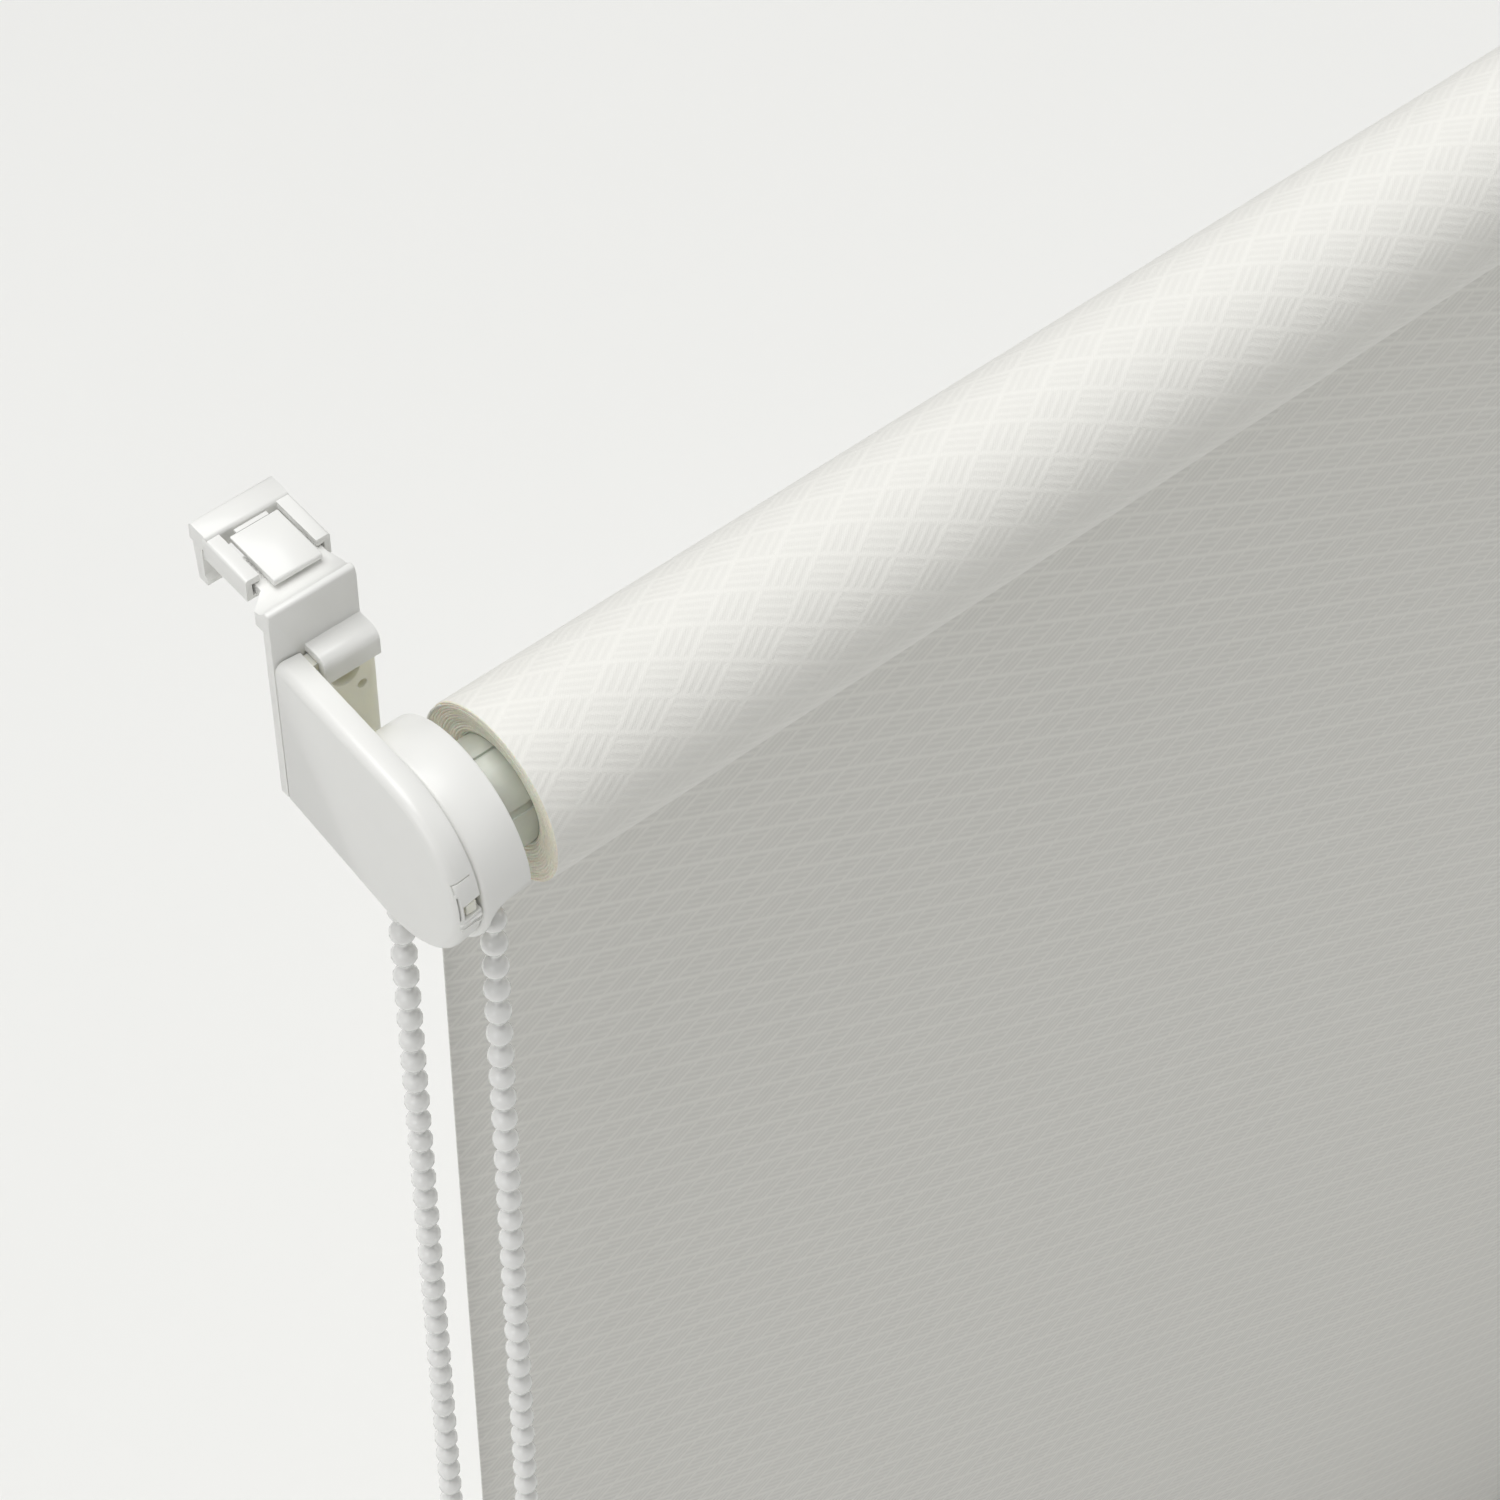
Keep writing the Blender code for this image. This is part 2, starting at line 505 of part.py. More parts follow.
def roller_tube(material):
    """Extruded tube with two wide and two narrow key grooves along it."""
    grooves = {87: 0.7 * MM, 151.5: 1.4 * MM, 267: 0.7 * MM, 331.5: 1.4 * MM}
    depth = 0.5 * MM
    bm = prism_bmesh(circle((ROLL_Y, ROLL_Z), TUBE_RADIUS, 48), "X", TUBE_LEFT, TUBE_RIGHT)
    tube = mesh_object("roller_tube", bm, material=material, pivot=(TUBE_LEFT, ROLL_Y, ROLL_Z))
    bore = prism("tube_bore", circle((ROLL_Y, ROLL_Z), TUBE_BORE, 40), "X", TUBE_LEFT - MM, TUBE_RIGHT + MM)
    keys = []
    for angle, width in grooves.items():
        low = (TUBE_LEFT - MM, TUBE_RADIUS - depth, -width / 2)
        high = (TUBE_RIGHT + MM, TUBE_RADIUS + MM, width / 2)
        key = box("key_groove", low, high)
        turn = Matrix.Translation((0, ROLL_Y, ROLL_Z)) @ Matrix.Rotation(math.radians(angle), 4, "X")
        key.data.transform(turn)
        keys.append(key)
    return cut(tube, bore, *keys)


def fabric_roll(material):
    """The wound fabric, its turns at each end set back towards the tube."""
    inner, setback = TUBE_RADIUS + 0.25 * MM, 1.4 * MM
    profile = [(FABRIC_LEFT + setback, inner), (FABRIC_LEFT, ROLL_RADIUS - 0.6 * MM)]
    profile += [(FABRIC_LEFT + GAP, ROLL_RADIUS), (FABRIC_RIGHT - GAP, ROLL_RADIUS)]
    profile += [(FABRIC_RIGHT, ROLL_RADIUS - 0.6 * MM), (FABRIC_RIGHT - setback, inner)]
    return turned("fabric_roll", profile, 48, material=material, pivot=(FABRIC_LEFT, ROLL_Y, ROLL_Z))


SHEET_Y = ROLL_Y + ROLL_RADIUS  # the hanging fabric's front face
BAR_TOP = ROLL_Z - FABRIC_DROP
BAR_HEIGHT, BAR_DEPTH = 20 * MM, 9 * MM
CAP = 2.5 * MM  # length of a bottom bar's end cap
CHANNEL_RADIUS = 2.6 * MM
CHANNEL_Z = BAR_TOP - 4.6 * MM  # the keyhole channel's middle


def fabric_sheet(material):
    """The hanging fabric, from just under the roll to the bottom bar's slot."""
    top = ROLL_Z - 3.4 * MM
    low, high = (FABRIC_LEFT, SHEET_Y, BAR_TOP + GAP), (FABRIC_RIGHT, SHEET_Y + FABRIC_THICKNESS, top)
    return box("fabric_sheet", low, high, material=material)


def bar_outline(shrink=0.0):
    """A flat oval standing on edge, in Y and Z."""
    y, radius = SHEET_Y + FABRIC_THICKNESS / 2, BAR_DEPTH / 2
    upper, lower = BAR_TOP - radius, BAR_TOP - BAR_HEIGHT + radius
    return arc((y, upper), radius - shrink, 0, 180, 12) + arc((y, lower), radius - shrink, 180, 360, 12)


def bottom_bar(material, travel):
    """Extruded weight bar with a keyhole channel along its top for the hem rod, and a hollow below it."""
    y = SHEET_Y + FABRIC_THICKNESS / 2
    left, right = FABRIC_LEFT + CAP, FABRIC_RIGHT - CAP
    bar = prism("bottom_bar", bar_outline(), "X", left, right, material=material, pivot=travel)
    slot_half = 0.8 * MM
    reach = math.degrees(math.asin(slot_half / CHANNEL_RADIUS))
    keyhole = [(y + slot_half, BAR_TOP + MM), (y - slot_half, BAR_TOP + MM)]
    keyhole += arc((y, CHANNEL_Z), CHANNEL_RADIUS, 90 + reach, 450 - reach, 16)
    wall = 1.2 * MM
    floor, ceiling = BAR_TOP - BAR_HEIGHT + BAR_DEPTH / 2, CHANNEL_Z - CHANNEL_RADIUS - wall
    radius = BAR_DEPTH / 2 - wall
    hollow = [(y + radius, ceiling), (y - radius, ceiling), *arc((y, floor), radius, 180, 360, 10)]
    cutters = [prism("keyhole", keyhole, "X", left - MM, right + MM)]
    cutters.append(prism("hollow", hollow, "X", left - MM, right + MM))
    return cut(bar, *cutters)


def hem_rod(material, travel):
    """Round rod in the fabric's hem, inside the bar's channel."""
    y, left, right = SHEET_Y + FABRIC_THICKNESS / 2, FABRIC_LEFT + CAP + GAP, FABRIC_RIGHT - CAP - GAP
    return prism("hem_rod", circle((y, CHANNEL_Z), 2 * MM, 12), "X", left, right, material=material, pivot=travel)


def bar_cap(name, outer, inner, material, travel):
    """End cap of the bottom bar, from its outer face in to 0.3 mm short of the bar."""
    bm = prism_bmesh(bar_outline(), "X", outer, inner)
    rim = [edge for edge in bm.edges if all(abs(vert.co.x - outer) < GAP for vert in edge.verts)]
    bmesh.ops.bevel(bm, geom=rim, offset=0.8 * MM, segments=2, profile=0.5, affect="EDGES")
    return mesh_object(name, bm, material=material, pivot=travel)


# Bead chain


def chain_route(points_on_strand=33, points_on_turn=7):
    """The chain's centre line: down the front strand, round its low end, up the rear and over the wheel.
    It starts and ends on top of the wheel, one bead pitch apart."""

    def on_turn(degrees, height):
        angle = math.radians(degrees)
        return WHEEL_RADIUS * math.cos(angle), height + WHEEL_RADIUS * math.sin(angle)

    low = ROLL_Z - STRAND
    half_pitch = 180 / POCKETS
    turn = [90 + half_pitch + (90 - half_pitch) * i / points_on_turn for i in range(points_on_turn)]
    down = [ROLL_Z - STRAND * i / points_on_strand for i in range(points_on_strand)]
    foot = [180 + 180 * i / (2 * points_on_turn) for i in range(2 * points_on_turn)]
    route = [on_turn(angle, ROLL_Z) for angle in turn]
    route += [(-WHEEL_RADIUS, z) for z in down]
    route += [on_turn(angle, low) for angle in foot]
    back = [(-y, z) for y, z in reversed(route[: points_on_turn + points_on_strand])]
    return [(CHAIN_X, ROLL_Y + y, z) for y, z in route + [(WHEEL_RADIUS, low)] + back]


def bead_chain(material):
    """A plain tube of the beads' diameter along the chain."""
    route = chain_route()
    curve = bpy.data.curves.new("bead_chain", "CURVE")
    curve.dimensions = "3D"
    curve.bevel_depth = BEAD / 2
    curve.bevel_resolution = 2
    curve.use_fill_caps = True
    path = curve.splines.new("POLY")
    path.points.add(len(route) - 1)
    for point, place in zip(path.points, route):
        point.co = (*place, 1)
    curve.materials.append(material)
    chain = bpy.data.objects.new("bead_chain", curve)
    bpy.context.collection.objects.link(chain)
    return chain


def chain_connector(material):
    """Split barrel that joins the chain's ends, on the rear strand near the low end."""
    outer, inner, height, slit = 3.4 * MM, BEAD / 2 + 0.35 * MM, 13 * MM, 20
    y = ROLL_Y + WHEEL_RADIUS
    low = ROLL_Z - STRAND + 12 * MM
    ring = arc((CHAIN_X, y), outer, 270 + slit, 630 - slit, 24)
    ring += arc((CHAIN_X, y), inner, 630 - slit, 270 + slit, 24)
    return prism("chain_connector", ring, "Z", low, low + height, material=material, pivot=(CHAIN_X, y, low))


# Idle end


PIN_RADIUS = 2 * MM
PLUG_LEFT = TUBE_RIGHT - 26 * MM


def idle_plug(material):
    """Plug in the tube's far end: a spring chamber between a rear guide hole and the end flange."""
    flange_left, flange_right = TUBE_RIGHT + GAP, TUBE_RIGHT + 1.5 * MM
    hole, chamber, body = PIN_RADIUS + 0.2 * MM, 5 * MM, TUBE_BORE - GAP
    profile = [(PLUG_LEFT, hole), (PLUG_LEFT, body), (flange_left, body), (flange_left, TUBE_RADIUS)]
    profile += [(flange_right, TUBE_RADIUS), (flange_right, hole), (TUBE_RIGHT - 2 * MM, hole)]
    profile += [(TUBE_RIGHT - 2 * MM, chamber), (PLUG_LEFT + 3 * MM, chamber), (PLUG_LEFT + 3 * MM, hole)]
    return turned("idle_plug", profile, 36, material=material, pivot=(PLUG_LEFT, ROLL_Y, ROLL_Z))


def idle_pin(material):
    """Steel pin with a collar inside the plug and a rounded tip in the idle arm's socket."""
    tip = IDLE_ARM_IN + 2.6 * MM
    collar_right = TUBE_RIGHT - 2.3 * MM
    collar_left = collar_right - 1.5 * MM
    tail = PLUG_LEFT - 2 * MM
    profile = [(tail, 0), (tail, PIN_RADIUS), (collar_left, PIN_RADIUS), (collar_left, 4.4 * MM)]
    profile += [(collar_right, 4.4 * MM), (collar_right, PIN_RADIUS)]
    profile += [(tip - 0.8 * MM, PIN_RADIUS), (tip, 1.2 * MM), (tip, 0)]
    return turned("idle_pin", profile, 24, material=material, pivot=(tail, ROLL_Y, ROLL_Z))


def pin_spring(material, turns=8, per_turn=12):
    """Compression spring round the pin, between the plug's rear wall and the pin's collar."""
    wire, radius = 0.4 * MM, PIN_RADIUS + 1.2 * MM
    left = PLUG_LEFT + 3 * MM + wire + GAP
    right = TUBE_RIGHT - 3.8 * MM - wire - GAP
    count = turns * per_turn
    curve = bpy.data.curves.new("pin_spring", "CURVE")
    curve.dimensions = "3D"
    curve.bevel_depth = wire
    curve.bevel_resolution = 0
    curve.use_fill_caps = True
    path = curve.splines.new("POLY")
    path.points.add(count)
    for i in range(count + 1):
        angle = 2 * math.pi * i / per_turn
        x = left + (right - left) * i / count
        path.points[i].co = (x, radius * math.cos(angle), radius * math.sin(angle), 1)
    curve.materials.append(material)
    spring = bpy.data.objects.new("pin_spring", curve)
    spring.location = (0, ROLL_Y, ROLL_Z)
    bpy.context.collection.objects.link(spring)
    return spring


def main():
    clear_scene()
    white = finish("white_acetal", "eeeeea", 0.35)
    ivory = finish("ivory_nylon", "e9e7d8", 0.5)
    chain_white = finish("chain_plastic", "efefee", 0.25)
    grey = finish("clutch_plastic", "b9bbb6", 0.5)
    aluminium = finish("mill_aluminium", "a9ada5", 0.45, 0.9)
    steel = finish("spring_steel", "9a9c9e", 0.3, 1.0)
    fabric = finish("jacquard_polyester", "f1f0ea", 0.9)
    bar_white = finish("bar_enamel", "efefec", 0.4)

    for side in (CONTROL, IDLE):
        clip_plate(side, white)
        slider = axis_empty(side.name + "_slider_travel", (side.centre, 0, 0))
        hinge = axis_empty(side.name + "_tongue_hinge", (side.centre, 8 * MM, 4.3 * MM))
        hang_on(slider, clip_hook(side, white), hinge)
        hang_on(hinge, release_tongue(side, white))
        arm_cover(side, white)
        holder = bracket(side, ivory)
        if side is IDLE:
            round_hole = circle((ROLL_Y, ROLL_Z), PIN_RADIUS + GAP, 24)
            cut(holder, prism("socket", round_hole, "X", IDLE_ARM_IN - MM, IDLE_ARM_IN + 4 * MM))

    chain_housing(white)
    clutch_post(grey)
    clutch_spring("clutch_spring_left", 6.6 * MM, steel)
    clutch_spring("clutch_spring_right", 12 * MM, steel)
    spin = axis_empty("roller_axis", (CHAIN_X, ROLL_Y, ROLL_Z))
    plug, pin = idle_plug(grey), idle_pin(steel)
    hang_on(spin, chain_wheel(grey), drive_plug(grey), roller_tube(aluminium), fabric_roll(fabric), plug, pin)
    pin_spring(steel)

    fabric_sheet(fabric)
    travel = (FABRIC_LEFT, SHEET_Y, BAR_TOP)
    lift = axis_empty("bottom_bar_travel", travel)
    left = bar_cap("bar_cap_left", FABRIC_LEFT, FABRIC_LEFT + CAP - GAP, white, travel)
    right = bar_cap("bar_cap_right", FABRIC_RIGHT, FABRIC_RIGHT - CAP + GAP, white, travel)
    hang_on(lift, bottom_bar(bar_white, travel), hem_rod(grey, travel), left, right)

    bead_chain(chain_white)
    chain_connector(chain_white)


main()
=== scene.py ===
"""Clip-on roller blind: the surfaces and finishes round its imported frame, in metres, +Z up."""

import json
import math

import bmesh
import bpy
import numpy as np
from mathutils import Matrix, Vector

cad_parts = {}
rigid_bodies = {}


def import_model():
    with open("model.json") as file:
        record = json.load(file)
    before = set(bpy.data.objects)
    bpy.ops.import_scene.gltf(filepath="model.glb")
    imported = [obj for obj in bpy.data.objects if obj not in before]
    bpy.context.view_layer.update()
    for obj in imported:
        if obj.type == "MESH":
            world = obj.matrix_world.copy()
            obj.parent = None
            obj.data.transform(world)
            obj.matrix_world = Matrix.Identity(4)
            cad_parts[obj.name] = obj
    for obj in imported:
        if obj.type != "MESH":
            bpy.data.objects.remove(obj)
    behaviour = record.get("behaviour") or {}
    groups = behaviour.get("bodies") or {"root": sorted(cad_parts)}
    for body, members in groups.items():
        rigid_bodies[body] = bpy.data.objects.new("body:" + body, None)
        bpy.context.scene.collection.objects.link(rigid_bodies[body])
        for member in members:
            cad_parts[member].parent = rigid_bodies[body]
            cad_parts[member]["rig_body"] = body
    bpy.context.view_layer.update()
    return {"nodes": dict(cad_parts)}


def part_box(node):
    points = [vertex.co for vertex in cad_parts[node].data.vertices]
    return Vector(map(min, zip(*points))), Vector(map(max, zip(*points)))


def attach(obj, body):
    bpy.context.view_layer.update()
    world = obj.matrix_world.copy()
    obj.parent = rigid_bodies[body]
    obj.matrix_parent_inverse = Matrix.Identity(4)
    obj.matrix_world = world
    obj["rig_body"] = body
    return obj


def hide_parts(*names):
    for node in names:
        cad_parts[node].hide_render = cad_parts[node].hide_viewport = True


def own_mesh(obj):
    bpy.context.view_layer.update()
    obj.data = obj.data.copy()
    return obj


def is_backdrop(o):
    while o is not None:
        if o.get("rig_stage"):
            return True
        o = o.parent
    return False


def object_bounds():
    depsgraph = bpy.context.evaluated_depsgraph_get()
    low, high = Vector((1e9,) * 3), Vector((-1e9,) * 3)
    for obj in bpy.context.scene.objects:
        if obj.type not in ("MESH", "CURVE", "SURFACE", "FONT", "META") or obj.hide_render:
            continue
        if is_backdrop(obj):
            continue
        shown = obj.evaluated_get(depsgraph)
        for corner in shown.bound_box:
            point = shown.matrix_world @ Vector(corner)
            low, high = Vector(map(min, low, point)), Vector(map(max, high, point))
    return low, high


bl_info = {
    "name": "Clip-on Roller Blind",
    "version": (1, 0, 0),
    "blender": (4, 5, 0),
    "location": "View3D > Sidebar > Roller Blind",
    "description": "Builds the visible pieces and finishes of a clip-on roller blind",
    "category": "Object",
}

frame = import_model()
NODES = frame["nodes"]

MM = 0.001
SIDES = ("control", "idle")

# The roller, read from the frame
ROLL_LOW, ROLL_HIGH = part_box("fabric_roll")
ROLL_Y = (ROLL_LOW.y + ROLL_HIGH.y) / 2
ROLL_Z = (ROLL_LOW.z + ROLL_HIGH.z) / 2
ROLL_RADIUS = (ROLL_HIGH.y - ROLL_LOW.y) / 2
SHEET_LOW, SHEET_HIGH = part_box("fabric_sheet")
SHEET_Y = (SHEET_LOW.y + SHEET_HIGH.y) / 2
TUBE_LOW, TUBE_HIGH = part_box("roller_tube")
TUBE_RADIUS = 9.5 * MM
TUBE_BORE = 8.4 * MM
ROD_LOW, ROD_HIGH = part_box("hem_rod")

# The bead chain's route, as in the frame
CHAIN_X = 1.5 * MM
PITCH = 6 * MM
POCKETS = 13
CHAIN_BEADS = 214
WHEEL_RADIUS = PITCH / (2 * math.sin(math.pi / POCKETS))
STRAND = (CHAIN_BEADS * PITCH - 2 * math.pi * WHEEL_RADIUS) / 2


# ---- Sizes and colours that a user may change


def linear(colour):
    """sRGB hex digits to linear red, green and blue."""
    channels = [int(colour[i : i + 2], 16) / 255 for i in (0, 2, 4)]
    return tuple(c / 12.92 if c <= 0.04045 else ((c + 0.055) / 1.055) ** 2.4 for c in channels)


def length(name, description, default):
    return bpy.props.FloatProperty(
        name=name,
        description=description,
        default=default,
        min=0,
        precision=5,
        subtype="DISTANCE",
        unit="LENGTH",
    )


def colour(name, description, default):
    return bpy.props.FloatVectorProperty(
        name=name, description=description, default=linear(default), min=0, max=1, size=3, subtype="COLOR"
    )


class BlindSizes(bpy.types.PropertyGroup):
    bead: length("Bead", "Diameter of a chain bead", 4.5 * MM)
    string: length("String", "Diameter of the string between the beads", 1.3 * MM)
    bead_offset: length("Bead offset", "How far the first bead is from the chain's start", 3.0 * MM)
    edge: length("Edge rounding", "Width of the rounding on a moulding's edges", 0.3 * MM)
    fabric: length("Fabric thickness", "Thickness of the blind's fabric", 0.42 * MM)
    turn: length("Turn spacing", "Spacing of the wound turns that show at the roll's ends", 0.46 * MM)
    block: length("Pattern width", "Half the width of one slanting cell of the fabric's pattern", 5.5 * MM)
    rise: length("Pattern height", "Half the height of one slanting cell of the fabric's pattern", 3.35 * MM)


class BlindColours(bpy.types.PropertyGroup):
    white: colour("White plastic", "Clips, covers and chain housing", "f4f4f1")
    ivory: colour("Natural plastic", "Brackets", "f8f6e6")
    chain: colour("Chain", "Beads and connector", "f8f8f6")
    fabric: colour("Fabric", "Blind fabric", "f4f3ee")
    raw_edge: colour("Fabric edge", "Cut edges at the ends of the roll", "f8f3e2")
    aluminium: colour("Aluminium", "Roller tube", "d9ddd5")
    clutch: colour("Grey plastic", "Chain wheel and plugs", "b9bbb6")
    enamel: colour("Bar enamel", "Bottom bar", "f1f1ee")
    floor: colour("Floor", "Studio floor", "ededeb")


# ---- Meshes


def grid_piece(name, points, material, wrap=(False, False), caps=False, uv=None):
    """A mesh of a grid of points (rows, columns, 3). wrap closes it along rows or columns, caps adds a pole
    at each end row's middle, and uv gives the map's two coordinates, in metres, along rows and columns."""
    rows, columns = points.shape[:2]
    row, column = np.meshgrid(
        np.arange(rows - 1 + wrap[0]), np.arange(columns - 1 + wrap[1]), indexing="ij"
    )
    row, column = row.ravel(), column.ravel()
    corners = np.stack([row, row + 1, row + 1, row, column, column, column + 1, column + 1]).reshape(2, 4, -1)
    faces = (corners[0] % rows * columns + corners[1] % columns).T
    vertices = points.reshape(-1, 3)
    polygons = faces.tolist()
    if caps:
        poles = np.stack([points[0].mean(axis=0), points[-1].mean(axis=0)])
        vertices = np.concatenate([vertices, poles])
        first = np.arange(columns)
        after = (first + 1) % columns
        count, last = rows * columns, (rows - 1) * columns
        polygons += np.stack([np.full(columns, count), first, after]).T.tolist()
        polygons += np.stack([np.full(columns, count + 1), last + after, last + first]).T.tolist()
    mesh = bpy.data.meshes.new(name)
    mesh.from_pydata(vertices, [], polygons)
    if uv is not None:
        u, v = uv
        places = np.zeros((len(mesh.loops), 2), np.float32)
        places[: faces.size, 0] = u[corners[0].T.ravel()]
        places[: faces.size, 1] = v[corners[1].T.ravel()]
        mesh.uv_layers.new(name="surface").data.foreach_set("uv", places.ravel())
    mesh.shade_smooth()
    mesh.materials.append(material)
    return linked(name, mesh)


def linked(name, mesh):
    piece = bpy.data.objects.new(name, mesh)
    bpy.context.scene.collection.objects.link(piece)
    return piece


def settle(piece, body, slot, *replaced):
    """Puts a finished piece on its body and hides the frame's nodes it stands for. The slot argument is not
    used.
    """
    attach(piece, body)
    if replaced:
        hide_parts(*replaced)
    return piece


def smooth(t):
    """0 to 1 with level ends: 3 t squared less 2 t cubed."""
    t = np.clip(t, 0, 1)
    return t * t * (3 - 2 * t)


def rounded_copy(node, material, width, slot, segments=2):
    """A copy of a frame node, its doubled points merged and its flat faces made whole, with every sharp
    edge rounded to the given width."""
    source = NODES[node]
    shape = bmesh.new()
    shape.from_mesh(source.data)
    bmesh.ops.remove_doubles(shape, verts=shape.verts, dist=0.002 * MM)
    bmesh.ops.dissolve_limit(shape, angle_limit=math.radians(1), verts=shape.verts, edges=shape.edges)
    mesh = bpy.data.meshes.new("moulded_" + node)
    shape.to_mesh(mesh)
    shape.free()
    mesh.materials.clear()
    mesh.materials.append(material)
    mesh.shade_smooth()
    piece = linked("moulded_" + node, mesh)
    bevel = piece.modifiers.new("Rounded edges", "BEVEL")
    bevel.width = width
    bevel.segments = segments
    bevel.limit_method = "ANGLE"
    bevel.angle_limit = math.radians(32)
    bevel.harden_normals = True
    return settle(piece, source["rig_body"], slot, node)


# ---- Materials


def add(tree, kind, inputs=None, **settings):
    """Adds a node. inputs gives each socket a value or another node's output."""
    node = tree.nodes.new(kind)
    for name, value in settings.items():
        setattr(node, name, value)
    for name, value in (inputs or {}).items():
        if isinstance(value, bpy.types.NodeSocket):
            tree.links.new(value, node.inputs[name])
        else:
            node.inputs[name].default_value = value
    return node


def new_material(name, **sockets):
    """A Principled material. Returns the material, its node tree and its shader."""
    material = bpy.data.materials.get(name)
    if material:
        return material, None, None
    material = bpy.data.materials.new(name)
    material.use_nodes = True
    tree = material.node_tree
    shader = tree.nodes["Principled BSDF"]
    for socket, value in sockets.items():
        shader.inputs[socket.replace("_", " ")].default_value = value
    return material, tree, shader


def grain(tree, vector, size, detail=3.0):
    """Noise whose grains are about that size in metres."""
    inputs = {"Vector": vector, "Scale": 0.5 / size, "Detail": detail}
    return add(tree, "ShaderNodeTexNoise", inputs).outputs["Fac"]


def spread(tree, value, low, high, start=0.3, end=0.7):
    """Maps a noise value onto low to high."""
    inputs = {"Value": value, "From Min": start, "From Max": end, "To Min": low, "To Max": high}
    return add(tree, "ShaderNodeMapRange", inputs).outputs["Result"]


def tint(tree, factor, one, two):
    mixer = add(tree, "ShaderNodeMix", {"Factor": factor}, data_type="RGBA")
    mixer.inputs["A"].default_value = (*one, 1)
    mixer.inputs["B"].default_value = (*two, 1)
    return mixer.outputs["Result"]


def shaded(value, amount):
    return tuple(min(1.0, channel * amount) for channel in value)


def moulded_plastic(name, base, roughness, subsurface=0.0, coat=0.0, sink=0.0):
    """Injection-moulded plastic: an even colour with faint clouding where the melt flowed, a satin skin
    copied from the tool's polish and, on the larger mouldings, very shallow sink marks that bend the
    highlights."""
    material, tree, shader = new_material(name, IOR=1.48)
    if not tree:
        return material
    shader.inputs["Coat Weight"].default_value = coat
    shader.inputs["Coat Roughness"].default_value = 0.12
    shader.inputs["Subsurface Weight"].default_value = subsurface
    shader.inputs["Subsurface Radius"].default_value = (1.6, 1.5, 1.2)
    shader.inputs["Subsurface Scale"].default_value = MM
    place = add(tree, "ShaderNodeTexCoord").outputs["Object"]
    cloud = spread(tree, grain(tree, place, 6 * MM), 0, 1)
    skin = grain(tree, place, 5 * MM, 0)
    tree.links.new(tint(tree, cloud, base, shaded(base, 0.98)), shader.inputs["Base Color"])
    tree.links.new(spread(tree, skin, roughness - 0.02, roughness + 0.02), shader.inputs["Roughness"])
    if sink:
        marks = {"Height": grain(tree, place, 8 * MM, 0), "Strength": 1.0, "Distance": sink}
        tree.links.new(add(tree, "ShaderNodeBump", marks).outputs["Normal"], shader.inputs["Normal"])
    return material


